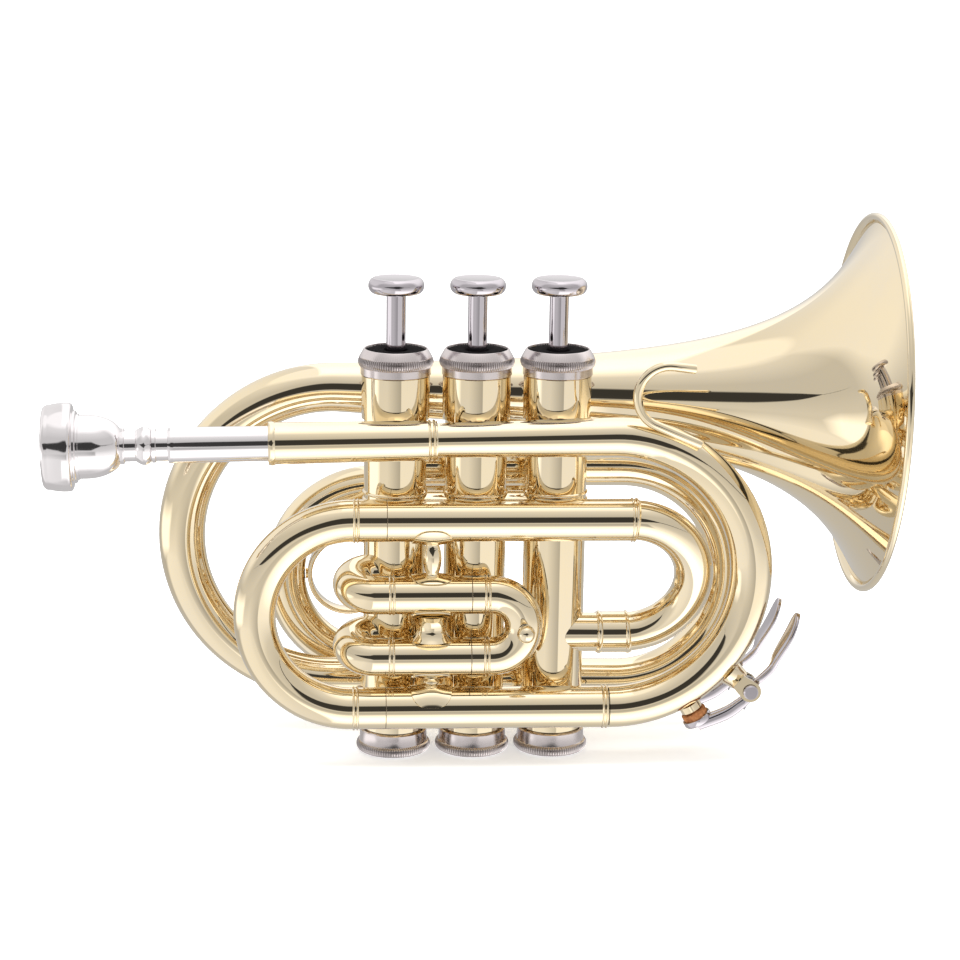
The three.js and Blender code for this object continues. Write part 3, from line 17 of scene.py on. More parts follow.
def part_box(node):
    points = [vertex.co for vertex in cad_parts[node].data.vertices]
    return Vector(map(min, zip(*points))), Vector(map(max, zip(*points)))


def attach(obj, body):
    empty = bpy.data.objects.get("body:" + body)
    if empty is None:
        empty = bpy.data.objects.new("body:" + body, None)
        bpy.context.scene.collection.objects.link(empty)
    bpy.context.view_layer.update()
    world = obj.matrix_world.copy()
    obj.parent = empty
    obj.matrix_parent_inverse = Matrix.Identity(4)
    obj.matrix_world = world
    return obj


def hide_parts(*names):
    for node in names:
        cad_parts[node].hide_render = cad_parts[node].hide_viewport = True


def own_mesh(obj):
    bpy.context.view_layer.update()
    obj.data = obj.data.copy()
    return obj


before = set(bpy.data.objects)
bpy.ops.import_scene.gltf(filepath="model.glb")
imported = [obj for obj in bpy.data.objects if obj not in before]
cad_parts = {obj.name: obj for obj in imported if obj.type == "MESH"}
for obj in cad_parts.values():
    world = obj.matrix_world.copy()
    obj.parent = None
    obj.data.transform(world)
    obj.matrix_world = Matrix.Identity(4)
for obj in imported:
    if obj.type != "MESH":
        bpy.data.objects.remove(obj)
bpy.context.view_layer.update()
MM = 0.001
LEVEL, UPRIGHT = Vector((0, 1, 0)), Vector((0, 0, 1))
random.seed(7)

# %% [markdown]
# ## Finishes
#
# Lacquered brass is a metal under a thin clear coat. The metal gives the warm tint, and the coat adds a
# second, colourless reflection. Fine polishing marks and faint thumb smears are kept in the roughness
# and in a very small bump, so that the reflections break up a little without losing their edges.

# %% Helpers for node materials
class Graph:
    """The shader nodes of one material or of the world."""

    def __init__(self, tree):
        self.nodes, self.links = tree.nodes, tree.links
        self.place = self.nodes.new("ShaderNodeTexCoord")

    def feed(self, node, values):
        """Give inputs, by name or number, a value of their own or another node's output."""
        for name, value in values.items():
            if isinstance(value, bpy.types.NodeSocket):
                self.links.new(value, node.inputs[name])
            else:
                node.inputs[name].default_value = value
        return node

    def add(self, kind, values):
        return self.feed(self.nodes.new(kind), values)

    def noise(self, scale, detail=3.0, stretch=(1, 1, 1)):
        """The grey value of a cloudy noise in the piece's own coordinates."""
        mapping = self.add("ShaderNodeMapping", {"Vector": self.place.outputs["Object"], "Scale": stretch})
        texture = self.add("ShaderNodeTexNoise", {"Vector": mapping.outputs["Vector"]})
        return self.feed(texture, {"Scale": scale, "Detail": detail}).outputs["Fac"]

    def fall(self, value, start, stop, low=0.0, high=1.0):
        """low up to start, high from stop on and an even change between them."""
        ranged = self.add("ShaderNodeMapRange", {"Value": value, "From Min": start, "From Max": stop})
        return self.feed(ranged, {"To Min": low, "To Max": high}).outputs["Result"]

    def blend(self, share, low, high, kind="FLOAT"):
        """low where share is 0, high where it is 1 and a mix between them."""
        mix = self.nodes.new("ShaderNodeMix")
        mix.data_type = kind
        return self.feed(mix, {"Factor": share, "A": low, "B": high}).outputs["Result"]

    def tint(self, share, low, high):
        return self.blend(share, (*low, 1), (*high, 1), "RGBA")

    def bump(self, height, strength, distance):
        node = self.add("ShaderNodeBump", {"Height": height, "Strength": strength, "Distance": distance})
        return node.outputs["Normal"]

    def maths(self, operation, *values):
        node = self.nodes.new("ShaderNodeMath")
        node.operation = operation
        return self.feed(node, dict(enumerate(values))).outputs[0]


def new_material(name):
    material = bpy.data.materials.new(name)
    material.use_nodes = True
    graph = Graph(material.node_tree)
    return material, graph, graph.nodes["Principled BSDF"]


def polished_metal(name, light, dark, smooth, dull, coat=0.0):
    """Metal with cloudy smears, fine polishing marks and an optional clear coat."""
    material, graph, shader = new_material(name)
    clouds = graph.noise(38)
    marks = graph.noise(900, 2, (1, 1, 0.12))
    graph.feed(shader, {"Base Color": graph.tint(clouds, dark, light),
                        "Roughness": graph.fall(clouds, 0.3, 0.7, smooth, dull),
                        "Normal": graph.bump(marks, 0.03, 0.00001), "Metallic": 1.0,
                        "Coat Weight": coat, "Coat IOR": 1.6, "Coat Roughness": 0.01})
    return material


# %% The metals
BRASS = polished_metal("lacquered brass", (0.88, 0.745, 0.50), (0.86, 0.715, 0.465), 0.02, 0.04, 0.45)
SILVER = polished_metal("silver plate", (0.84, 0.81, 0.815), (0.80, 0.77, 0.775), 0.05, 0.10)
NICKEL = polished_metal("nickel plate", (0.72, 0.66, 0.65), (0.62, 0.565, 0.56), 0.16, 0.26)
BRIGHT_NICKEL = polished_metal("bright nickel", (0.59, 0.555, 0.58), (0.53, 0.495, 0.53), 0.05, 0.09)
SPRING_STEEL = polished_metal("spring steel", (0.52, 0.52, 0.54), (0.42, 0.42, 0.44), 0.18, 0.3)
# A darker metal for the knurl's grooves: painted shade where the grooves lie in shadow.
KNURL_GROOVE_SHADE = polished_metal("painted shade in the knurl grooves", (0.40, 0.36, 0.355), (0.31, 0.28, 0.275), 0.3, 0.45)
# A near-black metal that paints the shade inside the hairline gaps of the slides.
HAIRLINE_SHADE = polished_metal("painted shade in the slide hairline", (0.10, 0.06, 0.03), (0.06, 0.035, 0.02), 0.3, 0.5)
print("metals:", [m.name for m in bpy.data.materials])

# %% [markdown]
# Felt and cork are the two dull materials. Felt is a mat of black wool, so it takes a strong fine bump
# and hardly reflects. Cork is orange-brown, with pores for its bump.

# %% Felt and cork
FELT, graph, shader = new_material("black felt")
wool = graph.noise(1400, 6)
graph.feed(shader, {"Base Color": graph.tint(wool, (0.002, 0.0015, 0.002), (0.010, 0.008, 0.009)),
                    "Normal": graph.bump(wool, 0.9, 0.0004), "Roughness": 0.95, "Specular IOR Level": 0.1})

CORK, graph, shader = new_material("water key cork")
grain = graph.fall(graph.noise(700, 5), 0.3, 0.7)
pores = graph.add("ShaderNodeTexVoronoi", {"Vector": graph.place.outputs["Object"], "Scale": 900})
graph.feed(shader, {"Base Color": graph.tint(grain, (0.34, 0.115, 0.035), (0.62, 0.27, 0.10)),
                    "Normal": graph.bump(pores.outputs["Distance"], 0.5, 0.0002), "Roughness": 0.85})
print("dull materials:", FELT.name, "and", CORK.name)

# %% [markdown]
# ## Two builders
#
# A path is a chain of straight stretches and round bends, as a tube bender makes them. A tube is a skin
# on that path with an outer and an inner radius, each given at a few distances from the start. Lengths
# are in millimetres until a mesh is made.

# %% Paths
class Path:
    """Straight stretches joined by round bends, with places given by the distance from the start."""

    def __init__(self, corners, bends=()):
        corners = [Vector(c) for c in corners]
        self.pieces = []
        at = 0.0
        start = corners[0]
        for i, bend in enumerate(bends):
            before = (corners[i + 1] - corners[i]).normalized()
            after = (corners[i + 2] - corners[i + 1]).normalized()
            turn = before.angle(after)
            reach = bend * tan(turn / 2)
            begin = corners[i + 1] - before * reach
            side = (after - before * after.dot(before)).normalized()
            self.pieces.append((at, (begin - start).length, start, before, None, 0.0, 0.0))
            at += (begin - start).length
            self.pieces.append((at, bend * turn, begin, before, side, bend, turn))
            at += bend * turn
            start = corners[i + 1] + after * reach
        direction = (corners[-1] - corners[-2]).normalized()
        length = (corners[-1] - start).length
        self.pieces.append((at, length, start, direction, None, 0.0, 0.0))
        self.length = at + length

    def at(self, distance):
        piece = [p for p in self.pieces if p[0] <= max(distance, 0) + 1e-9][-1]
        begin, _, start, direction, side, bend, _ = piece
        local = distance - begin
        if side is None:
            return start + direction * local, direction
        angle = local / bend
        place = start + direction * (bend * sin(angle)) + side * (bend * (1 - cos(angle)))
        return place, direction * cos(angle) + side * sin(angle)

    def stops(self, step):
        """Distances that cut each bend in equal steps, and the ends of each straight stretch."""
        found = []
        for begin, length, _, _, side, _, turn in self.pieces:
            count = max(1, round(turn / step)) if side is not None else 1
            found += [begin + length * i / count for i in range(count + 1)]
        return found


def bow(start, turn_a, turn_b, end):
    """The path of a U whose two legs are joined by the largest round bends that fit."""
    start, turn_a, turn_b, end = (Vector(p) for p in (start, turn_a, turn_b, end))
    across = (turn_b - turn_a).normalized()
    first = tan((turn_a - start).angle(across) / 2)
    second = tan((end - turn_b).angle(across) / 2)
    bend = (turn_b - turn_a).length / (first + second)
    return Path([start, turn_a, turn_b, end], [bend, bend])


def flat_bow(y, leg_x, bow_x, first_z, last_z):
    """A bow with two level legs, in one plane of the trumpet."""
    return bow((leg_x, y, first_z), (bow_x, y, first_z), (bow_x, y, last_z), (leg_x, y, last_z))


def radius_at(knots, distance):
    if distance <= knots[0][0]:
        return knots[0][1]
    for (a, ra), (b, rb) in zip(knots, knots[1:]):
        if a <= distance < b:
            return ra + (rb - ra) * (distance - a) / (b - a)
    return knots[-1][1]


# %% Skins on a path
BEND_STEP = radians(3)
NEAR_STOP = 0.25


def make_object(name, rings, material, nodes=(), body="trumpet_body", ends="capped", sharp=32):
    """A smooth skin through rings that rides one body and stands in for its measured nodes."""
    vertices, faces = bridge(rings, ends)
    mesh = bpy.data.meshes.new(name)
    mesh.from_pydata([tuple(Vector(v) * MM) for v in vertices], [], faces)
    mesh.validate()
    mesh.shade_smooth()
    mesh.set_sharp_from_angle(angle=radians(sharp))
    mesh.materials.append(material)
    obj = bpy.data.objects.new(name.replace(" ", "_"), mesh)
    bpy.context.scene.collection.objects.link(obj)
    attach(obj, body)
    if nodes:
        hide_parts(*nodes)
    return obj


def circle(place, first, second, radius, count):
    """Points about a place, in the plane of two directions."""
    return [place + (first * cos(a) + second * sin(a)) * radius
            for a in (2 * pi * k / count for k in range(count))]


def rings_on(path, knots, sides=64, step=BEND_STEP):
    """Rings of points along a path, one for each knot and each stop in a bend."""
    stops = [(d, r) for d, r in knots if 0 <= d <= path.length]
    for stop in path.stops(step):
        if all(abs(stop - d) > NEAR_STOP for d, _ in stops):
            stops.append((stop, radius_at(knots, stop)))
    stops.sort(key=lambda s: s[0])
    rings = []
    direction = path.at(stops[0][0])[1]
    normal = Vector((direction.y, direction.z, direction.x))
    for distance, radius in stops:
        place, direction = path.at(distance)
        normal = (normal - direction * normal.dot(direction)).normalized()
        rings.append(circle(place, normal, direction.cross(normal), radius, sides))
    return rings


def bridge(rings, ends):
    """Vertices and faces of a skin through rings. Its ends are joined, capped or open."""
    sides = len(rings[0])
    vertices = [v for ring in rings for v in ring]
    faces = []
    for r in range(len(rings) if ends == "joined" else len(rings) - 1):
        low, high = r * sides, ((r + 1) % len(rings)) * sides
        for k in range(sides):
            n = (k + 1) % sides
            faces.append((low + k, low + n, high + n, high + k))
    if ends == "capped":
        faces.append(tuple(range(sides))[::-1])
        faces.append(tuple((len(rings) - 1) * sides + k for k in range(sides)))
    return vertices, faces


# %% Tubes and their radii
VALVE_X = (-25, 0, 25)
CASING_RADIUS, CASING_BORE = 9.65, 8.5
VALVE_GAP = 0.05


def meet_valve(ring, axis_x, direction, radius):
    """Slide a ring's points along the tube until they lie on a valve's wall."""
    moved = []
    for point in ring:
        offset = Vector((point.x - axis_x, point.y, 0))
        ahead = offset.dot(direction)
        reach = sqrt(max(radius ** 2 - (offset - direction * ahead).length ** 2, 0))
        moved.append(point - direction * (reach + ahead))
    return moved


def tube(name, path, outer, inner, nodes, body="trumpet_body", material=BRASS, meets=None):
    """A tube with a wall. meets is the x of a valve that the tube's end is shaped to."""
    skin, bore = rings_on(path, outer), rings_on(path, inner)
    if meets is not None:
        direction = path.at(path.length)[1]
        flat = Vector((direction.x, direction.y, 0)).normalized()
        for rings in (skin, bore):
            rings[-1] = meet_valve(rings[-1], meets, flat, CASING_RADIUS + VALVE_GAP)
    return make_object(name, skin + bore[::-1], material, nodes, body, "joined")


def even(path, radius):
    return [(0, radius), (path.length, radius)]


def edged(path, radius, *between):
    """One radius all along, with a broken edge at the start."""
    return [(0, radius - 0.1), (0.12, radius), *between, (path.length, radius)]


def stepped(path, wide, depth, narrow):
    """A bore that is wide down to a depth and narrow from there."""
    return [(0, wide), (depth, wide), (depth, narrow), (path.length, narrow)]


def swelling(radius, rise, low, high, steps=6):
    """Points of a profile that swells out from a radius and back, between two heights."""
    return [(radius + rise * sin(pi * t / steps), low + (high - low) * t / steps)
            for t in range(steps + 1)]


def beads(start, radius, count=2, width=0.8, height=0.35, pitch=1.1):
    """Knots of fine half-round beads, such as those turned on a ferrule."""
    return [(distance, bulge) for i in range(count) for bulge, distance
            in swelling(radius, height, start + i * pitch, start + i * pitch + width)]


def arc(centre, radius, start, end, steps, height=None):
    """Points of a profile on an arc, with angles in degrees. height is an oval's other radius."""
    angles = [radians(start + (end - start) * i / steps) for i in range(steps + 1)]
    return [(centre[0] + radius * cos(a), centre[1] + (height or radius) * sin(a)) for a in angles]


# %% [markdown]
# A lathe turns a closed profile about an axis. Knurling is a lathe job too: a wheel with fine teeth is
# pressed into the turning cap, so the profile's radius goes up and down as it goes round, but only in
# the band that the wheel touched. The grooves get a darker metal, which paints the shade that falls in them.

# %% The lathe
def lathe(name, profile, place, direction, material, nodes=(), body="trumpet_body", sides=96,
          knurl=(0, 0, 0, 0), wobble=0.0, sharp=32):
    """Turn a closed list of (radius, height). knurl is (low, high, teeth, depth)."""
    direction = Vector(direction).normalized()
    side = direction.orthogonal().normalized()
    if abs(direction.z) > 0.999:
        side = Vector((1, 0, 0))
    across = direction.cross(side)
    place = Vector(place)
    low, high, teeth, depth = knurl
    count = 4 * teeth or sides
    rings = []
    for radius, height in profile:
        ring = []
        for k in range(count):
            angle = 2 * pi * k / count
            r = radius
            if teeth and low <= height <= high and k % 4 > 1:
                r -= depth
            r += wobble * (random.random() - 0.5)
            ring.append(place + direction * height + (side * cos(angle) + across * sin(angle)) * r)
        rings.append(ring)
    on_axis = profile[0][0] == profile[-1][0] == 0
    obj = make_object(name, rings, material, nodes, body, "open" if on_axis else "joined", sharp)
    # Faces in the knurl's grooves get the darker metal as painted shade.
    if teeth:
        obj.data.materials.append(KNURL_GROOVE_SHADE)
        for face in obj.data.polygons:
            heights = [profile[(face.index // count + i) % len(profile)][1] for i in (0, 1)]
            if face.index % 4 in (1, 2) and low <= min(heights) and max(heights) <= high:
                face.material_index = 1
    if on_axis:
        weld(obj)
    return obj


def weld(obj):
    """Join points that lie in one place, such as a lathe's ends on its axis."""
    work = bmesh.new()
    work.from_mesh(obj.data)
    bmesh.ops.remove_doubles(work, verts=work.verts, dist=1e-7)
    work.to_mesh(obj.data)
    work.free()


def on_valve(number, name, profile, material, node, body="trumpet_body", **shape):
    """Turn a piece about the axis of one valve."""
    place = (VALVE_X[number - 1], 0, 0)
    lathe(f"{name} {number}", profile, place, UPRIGHT, material, [f"{node}_{number}"], body, **shape)


# %% [markdown]
# ## Valve casings
#
# Each casing is a straight tube with a wider sleeve near the top, where the cap screws on, and two fine
# rings turned in it. The three stand 25 mm apart. Short transfer tubes join them, and on the real
# instrument they are soldered before the casings are bored.

# %% Casings and transfer tubes
SLEEVE_RADIUS, SLEEVE_LOW, SLEEVE_HIGH = 10.5, 107.5, 120.9
CASING_TOP, THREAD_RADIUS = 124.6, 9.7
TRANSFER_RADIUS, TRANSFER_Z = 5.9, 78.4
CASING = [(CASING_BORE, 2.3), (9.0, 2.3), (9.0, 7.8), (CASING_RADIUS, 7.8)]
for middle in (81.9, 84.2):
    CASING += [(CASING_RADIUS, middle - 0.65), *swelling(CASING_RADIUS, 0.5, middle - 0.6, middle + 0.6),
               (CASING_RADIUS, middle + 0.65)]
CASING += [(CASING_RADIUS, SLEEVE_LOW - 0.5), (CASING_RADIUS + 0.25, SLEEVE_LOW - 0.12),
           (SLEEVE_RADIUS, SLEEVE_LOW), (SLEEVE_RADIUS, SLEEVE_HIGH), (THREAD_RADIUS, SLEEVE_HIGH),
           (THREAD_RADIUS, CASING_TOP), (CASING_BORE, CASING_TOP)]
for number in (1, 2, 3):
    on_valve(number, "smooth casing", CASING, BRASS, "casing", sides=128, sharp=25)
for far in (-25, 25):
    heading = Vector((copysign(1, far), 0, 0))
    path = Path([(0, 0, TRANSFER_Z), (far, 0, TRANSFER_Z)])
    skin = rings_on(path, even(path, TRANSFER_RADIUS), 48)
    skin[0] = meet_valve(skin[0], 0, -heading, CASING_RADIUS - 0.1)
    skin[-1] = meet_valve(skin[-1], far, heading, CASING_RADIUS + VALVE_GAP)
    make_object(f"transfer tube {far}", skin, BRASS)
print("casings:", len(VALVE_X))

# %% [markdown]
# ## Caps, felts and buttons
#
# The caps are turned from brass and nickel plated. Their knurl is fine enough to read as a grey band
# from a step away. A black felt ring lies in each top cap's dish and silences the button.

# %% Top and bottom caps
TOP_KNURL = (123.85, 126.65, 96, 0.3)
BOTTOM_KNURL = (0.2, 3.3, 92, 0.3)
TOP_CAP = [(10.0, 121.2), (10.75, 121.2), (10.85, 121.35), (10.85, 123.55), (11.1, 123.75),
           *swelling(11.25, 0.4, 123.9, 126.6), (11.2, 126.8), (9.95, 129.0), (9.75, 129.2), (9.5, 129.2),
           (9.4, 129.05), (9.4, 126.6), (3.5, 126.6), (3.5, 125.2), (10.0, 125.2)]
BOTTOM_CAP = [(0, 0), (9.2, 0), (9.7, 0.12), *arc((10.2, 1.85), 1.5, -75, 60, 9, 1.65), (10.7, 3.4),
              (10.6, 3.6), (10.6, 7.1), (10.3, 7.4), (9.3, 7.4), (9.3, 2.0), (0, 2.0)]
FELT_RING = [(3.5, 126.95), (9.0, 126.95), (9.1, 127.2), (9.1, 128.3), (8.8, 128.75), (6.3, 128.85),
             (3.8, 128.75), (3.5, 128.4)]
for number in (1, 2, 3):
    on_valve(number, "knurled top cap", TOP_CAP, NICKEL, "top_cap", knurl=TOP_KNURL, sharp=28)
    on_valve(number, "knurled bottom cap", BOTTOM_CAP, NICKEL, "bottom_cap", knurl=BOTTOM_KNURL, sharp=28)
    on_valve(number, "felt ring", FELT_RING, FELT, "cap_felt", sides=160, wobble=0.10, sharp=80)
print("teeth on the caps:", TOP_KNURL[2], BOTTOM_KNURL[2])

# %% [markdown]
# A button and its stem are one turned shape to the eye. The stem screws into the piston, which fills
# the casing below. The real piston carries slanted passages that send the air round a slide; the one turned
# here is plain.

# %% Buttons, stems and pistons
BUTTON_LOW, BUTTON_HIGH = 146.2, 151.0
BUTTON_RADIUS, BUTTON_FLAT = 8.6, 6.6
BUTTON_MIDDLE, BUTTON_HALF = (BUTTON_LOW + BUTTON_HIGH) / 2, (BUTTON_HIGH - BUTTON_LOW) / 2
BUTTON = [(0, BUTTON_LOW), (3.4, BUTTON_LOW),
          *arc((BUTTON_FLAT, BUTTON_MIDDLE), BUTTON_RADIUS - BUTTON_FLAT, -90, 90, 18, BUTTON_HALF),
          (6.4, BUTTON_HIGH - 0.06), (6.1, BUTTON_HIGH - 0.1), (0, BUTTON_HIGH - 0.1)]
PISTON = [(0, 30), (7.9, 30), (8.2, 30.4), (8.2, 124.2), (7.8, 124.6), (3.0, 124.6), (3.0, BUTTON_LOW),
          (0, BUTTON_LOW)]
for number in (1, 2, 3):
    on_valve(number, "finger button face", BUTTON, BRIGHT_NICKEL, "finger_button", f"valve_{number}")
    on_valve(number, "piston and stem", PISTON, BRIGHT_NICKEL, "piston", f"valve_{number}", sides=64)
    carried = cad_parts[f"valve_guide_{number}"]
    carried.data.materials.clear()
    carried.data.materials.append(NICKEL)
print("buttons at", BUTTON_HIGH, "mm")

# %% [markdown]
# Each valve has a compression spring between its guide and the roof of the piston. Its end turns lie
# flat on their seats. It shortens with the stroke, and the piece gets a mesh of its own.

# %% Valve springs
STROKE, COIL, WIRE_RADIUS, TURNS = 17.0, 5.2, 0.55, 10
TURN_STEPS, WIRE_SIDES, SEAT_GAP = 32, 10, 0.05
for number, x in enumerate(VALVE_X, 1):
    low, high = (corner.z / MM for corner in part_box(f"valve_spring_{number}"))
    first, last = low + WIRE_RADIUS + SEAT_GAP, high - WIRE_RADIUS - SEAT_GAP
    rings = []
    for i in range(TURNS * TURN_STEPS + 1):
        turn = i / TURN_STEPS
        share = min(max((turn - 1) / (TURNS - 2), 0.0), 1.0)
        angle = 2 * pi * turn
        outward = Vector((cos(angle), sin(angle), 0))
        place = Vector((x, 0, first + (last - first) * share)) + outward * COIL
        rings.append(circle(place, outward, UPRIGHT, WIRE_RADIUS, WIRE_SIDES))
    spring = make_object(f"coil spring {number}", rings, SPRING_STEEL, [f"valve_spring_{number}"],
                         f"valve_{number}", sharp=60)
    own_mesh(spring)
print("springs of", round(high - low, 1), "mm, pressed to", round(high - low - STROKE, 1), "mm")

# %% [markdown]
# ## Mouthpiece and receiver
#
# The mouthpiece is one turned piece of silver-plated brass: a rounded rim, a heavy cup, a few decorative
# collars, and a long shank with a slight taper that wedges in the receiver. Its axis rises one degree
# towards the bell.

# %% The axis of the leadpipe
RISE = radians(1)
FRONT_Y = -16.45
KNEE_X, KNEE_Z = 41.7, 104.8
PIPE = Vector((cos(RISE), 0, sin(RISE)))
RECEIVER_X, MOUTHPIECE_OUT = -64, 67.3
MOUTH_X = RECEIVER_X - MOUTHPIECE_OUT * cos(RISE)


def pipe_z(x):
    return KNEE_Z - (KNEE_X - x) * tan(RISE)


def on_pipe(x):
    return Vector((x, FRONT_Y, pipe_z(x)))


# %% The mouthpiece
# The profile runs from the rim over the outside to the shank's end, and back through the bore.
barrel = [(13.4 - 0.6 * ((t - 10) / 10) ** 2, 1.9 + 5.8 * t / 12) for t in range(13)]
cup = [(3.5 + 6.15 * sqrt(1 - (t * 0.95 / 16) ** 2), 12.9 + 10.1 * t / 16) for t in range(17)]
outer = [*arc((11.2, 1.6), 1.6, -90, -10, 8), *barrel, *arc((12.3, 7.9), 1.05, 10, 90, 6),
         (11.2, 9.1), (10.95, 9.3), (10.95, 9.9), (10.5, 10.2), (9.95, 10.25), (9.95, 10.9), (9.65, 11.0),
         *cup, (5.45, 23.1), (5.45, 24.2), (4.75, 24.4), (4.7, 27.7), (5.0, 28.0),
         *swelling(5.0, 0.85, 28.1, 32.2, 10), (4.75, 32.4), (5.2, 32.6), (5.2, 33.6), (4.7, 33.8),
         (4.7, 37.3), (5.45, 37.5), (5.5, 37.7), (5.5, 39.1), (5.42, 39.4), (5.35, 67.3), (4.85, 90.9)]
bore = [(4.2, 90.9), (1.9, 14.5), (1.9, 11.2)]
bowl = arc((1.9, 1.6), 6.3, 80, 0, 10, 9.0)
bite = arc((11.4, 1.6), 3.2, 190, 260, 7, 1.6)
lathe("turned mouthpiece", outer + bore + bowl + bite, on_pipe(MOUTH_X), PIPE, SILVER, ["mouthpiece"],
      "mouthpiece", sides=128)
print("the mouthpiece's rim is at x =", round(MOUTH_X, 1), "mm")

# %% [markdown]
# The receiver has a rolled ring at its mouth and a pair of fine beads at its other end. The leadpipe
# widens from there all the way into the large bow, which is why the bow looks heavier than the slides.

# %% Receiver, leadpipe and large bow
LOWER_Z, UPPER_Z = 18.8, 78.8
LEAD_X, LEAD_RADIUS = 84.75, 6.5
receiver_path = Path([on_pipe(RECEIVER_X), on_pipe(-12.9)])
length = receiver_path.length
receiver_outer = [(0, 6.35), (0.15, 6.6), (1.1, 6.75), (1.9, 6.6), (2.1, 6.43), (length - 2.9, 6.05),
                  *beads(length - 2.8, 6.05, height=0.4, pitch=1.4), (length - 0.25, 6.05), (length, 5.9)]
receiver_inner = [(0, 5.75), (24, 5.2), (24.2, 5.5), (length, 5.5)]
tube("receiver with beads", receiver_path, receiver_outer, receiver_inner, ["receiver"])

lead_path = bow(on_pipe(-38), on_pipe(LEAD_X), (LEAD_X, FRONT_Y, LOWER_Z), (41.3, FRONT_Y, LOWER_Z))
lead_outer = [(0, 5.2), (26, 5.2), (74, 6.0), (96, LEAD_RADIUS), (lead_path.length - 4, LEAD_RADIUS),
              (lead_path.length, LEAD_RADIUS)]
tube("leadpipe and large bow", lead_path, lead_outer, [(d, r - 0.55) for d, r in lead_outer],
     ["leadpipe_bow"])
print("length of the leadpipe and its bow:", round(lead_path.length), "mm")

# %% [markdown]
# ## Main tuning slide and small bow
#
# The slide's two inner legs run far into the outer tubes, so the instrument stays rigid while it is
# tuned. Where an inner leg enters there is only a hairline, a little left of the first valve.

# %% Runs and tuning slide
RUN, RUN_BORE, LEG, LEG_BORE = 6.5, 5.85, 5.55, 4.9
SPLIT, HAIRLINE_HALF = -28.2, 0.14


def slide(name, path, leg, sleeve, radius, leg_radius, bore, body):
    """A slide: thin legs, then a sleeve that ends in two beads, then the bow."""
    half = [(0, leg_radius), (leg - 0.12, leg_radius), (leg - 0.12, radius - 0.12), (leg, radius),
            *beads(leg + sleeve, radius)]
    outer = [*half, *[(path.length - d, r) for d, r in reversed(half)]]
    tube(name, path, outer, even(path, bore), [body], body)


def hairline_shade_ring(name, x, z, radius):
    """A dark ring of painted shade in the hairline where an inner leg goes into its outer tube."""
    path = Path([(x - HAIRLINE_HALF, FRONT_Y, z), (x + HAIRLINE_HALF, FRONT_Y, z)])
    tube(name, path, even(path, radius - 0.02), even(path, radius - 0.52), (), material=HAIRLINE_SHADE)


for name, z, end, node in (("smooth lower run", LOWER_Z, 41.0, "lower_run"),
                           ("smooth upper run", UPPER_Z, 46.9, "upper_run")):
    path = Path([(SPLIT + 0.12, FRONT_Y, z), (end, FRONT_Y, z)])
    ferrule = beads(path.length - 2.0, RUN) if node == "lower_run" else []
    tube(name, path, edged(path, RUN, (path.length - 2.2, RUN), *ferrule), even(path, RUN_BORE), [node])
tuning = flat_bow(FRONT_Y, 8, -68.4, UPPER_Z, LOWER_Z)
slide("smooth tuning slide", tuning, 8 - SPLIT, 8.3, RUN, LEG, LEG_BORE, "tuning_slide")
# Each hairline of the tuning slide gets a dark ring of painted shade.
for name, z in (("lower", LOWER_Z), ("upper", UPPER_Z)):
    hairline_shade_ring(f"hairline of the {name} run", SPLIT, z, RUN)
print("tuning slide:", round(tuning.length), "mm of tube")

# %% The small bow into the third valve
small = bow((47.2, FRONT_Y, UPPER_Z), (67.9, FRONT_Y, UPPER_Z), (67.9, -3, 39), (25, -3, 39))
end = small.length
small_outer = [(0, RUN), *beads(0.1, RUN), (2.3, 6.15), (end - 24.2, 6.15), (end - 24.1, RUN),
               *beads(end - 24.0, RUN, 1, 1.5, 0.35), (end - 22.4, RUN),
               *beads(end - 15.1, RUN, 1, 1.5, 0.35), (end - 13.5, RUN), (end - 13.4, 6.15), (end, 6.15)]
tube("smooth small bow", small, small_outer, even(small, LEG_BORE), ["small_bow"], meets=25)

# %% [markdown]
# ## First slide
#
# Two knuckles come out of the first casing, turn round on the player's left and run back across the
# valves, and the short slide closes them with one tight bow. Its ball knob is for the left thumb.

# %% First slide and its knuckles
FIRST, FIRST_BORE, PORT_BORE = 5.9, 5.25, 4.6
FIRST_HIGH, FIRST_LOW = 55.2, 35.4
FIRST_BOW_X, KNOB_Z = 14.4, 45.3
for name, z, node in (("upper knuckle", FIRST_HIGH, "first_tube_upper"),
                      ("lower knuckle", FIRST_LOW, "first_tube_lower")):
    path = bow((-1.85, FRONT_Y, z), (-38.5, FRONT_Y, z), (-38.5, -2.6, z + 3.4), (-25, -2.6, z + 3.4))
    tube(name, path, edged(path, FIRST, *beads(23.6, FIRST, height=0.3)),
         stepped(path, FIRST_BORE, 25, PORT_BORE), [node], meets=-25)
first = flat_bow(FRONT_Y, -23.5, FIRST_BOW_X, FIRST_HIGH, FIRST_LOW)
slide("first slide bow", first, 21.8, 3.7, FIRST, 4.95, 4.3, "first_slide")
# Each hairline of the first slide gets a dark ring of painted shade.
for name, z in (("high", FIRST_HIGH), ("low", FIRST_LOW)):
    hairline_shade_ring(f"hairline of the {name} first leg", -1.7, z, FIRST)

KNOB = [(0, 0), (2.2, 0), (2.2, 0.35), (1.35, 0.7), (1.3, 1.2), (1.6, 1.45),
        *arc((0, 3.7), 2.8, -52, 84, 17), (0, 6.5)]
lathe("ball knob", KNOB, (FIRST_BOW_X, FRONT_Y - FIRST + 0.05, KNOB_Z), -LEVEL, BRASS,
      ["first_slide_knob"], "first_slide", sides=48)
print("first slide:", round(first.length), "mm of tube")

# %% [markdown]
# ## Bell side
#
# Behind the valves lie the rear bow, the bell and the third slide, in two planes. The bell's radius
# grows as one over the distance to a point just past the rim, which is close to how real flares grow,
# and a wire rolled into the rim keeps it round.

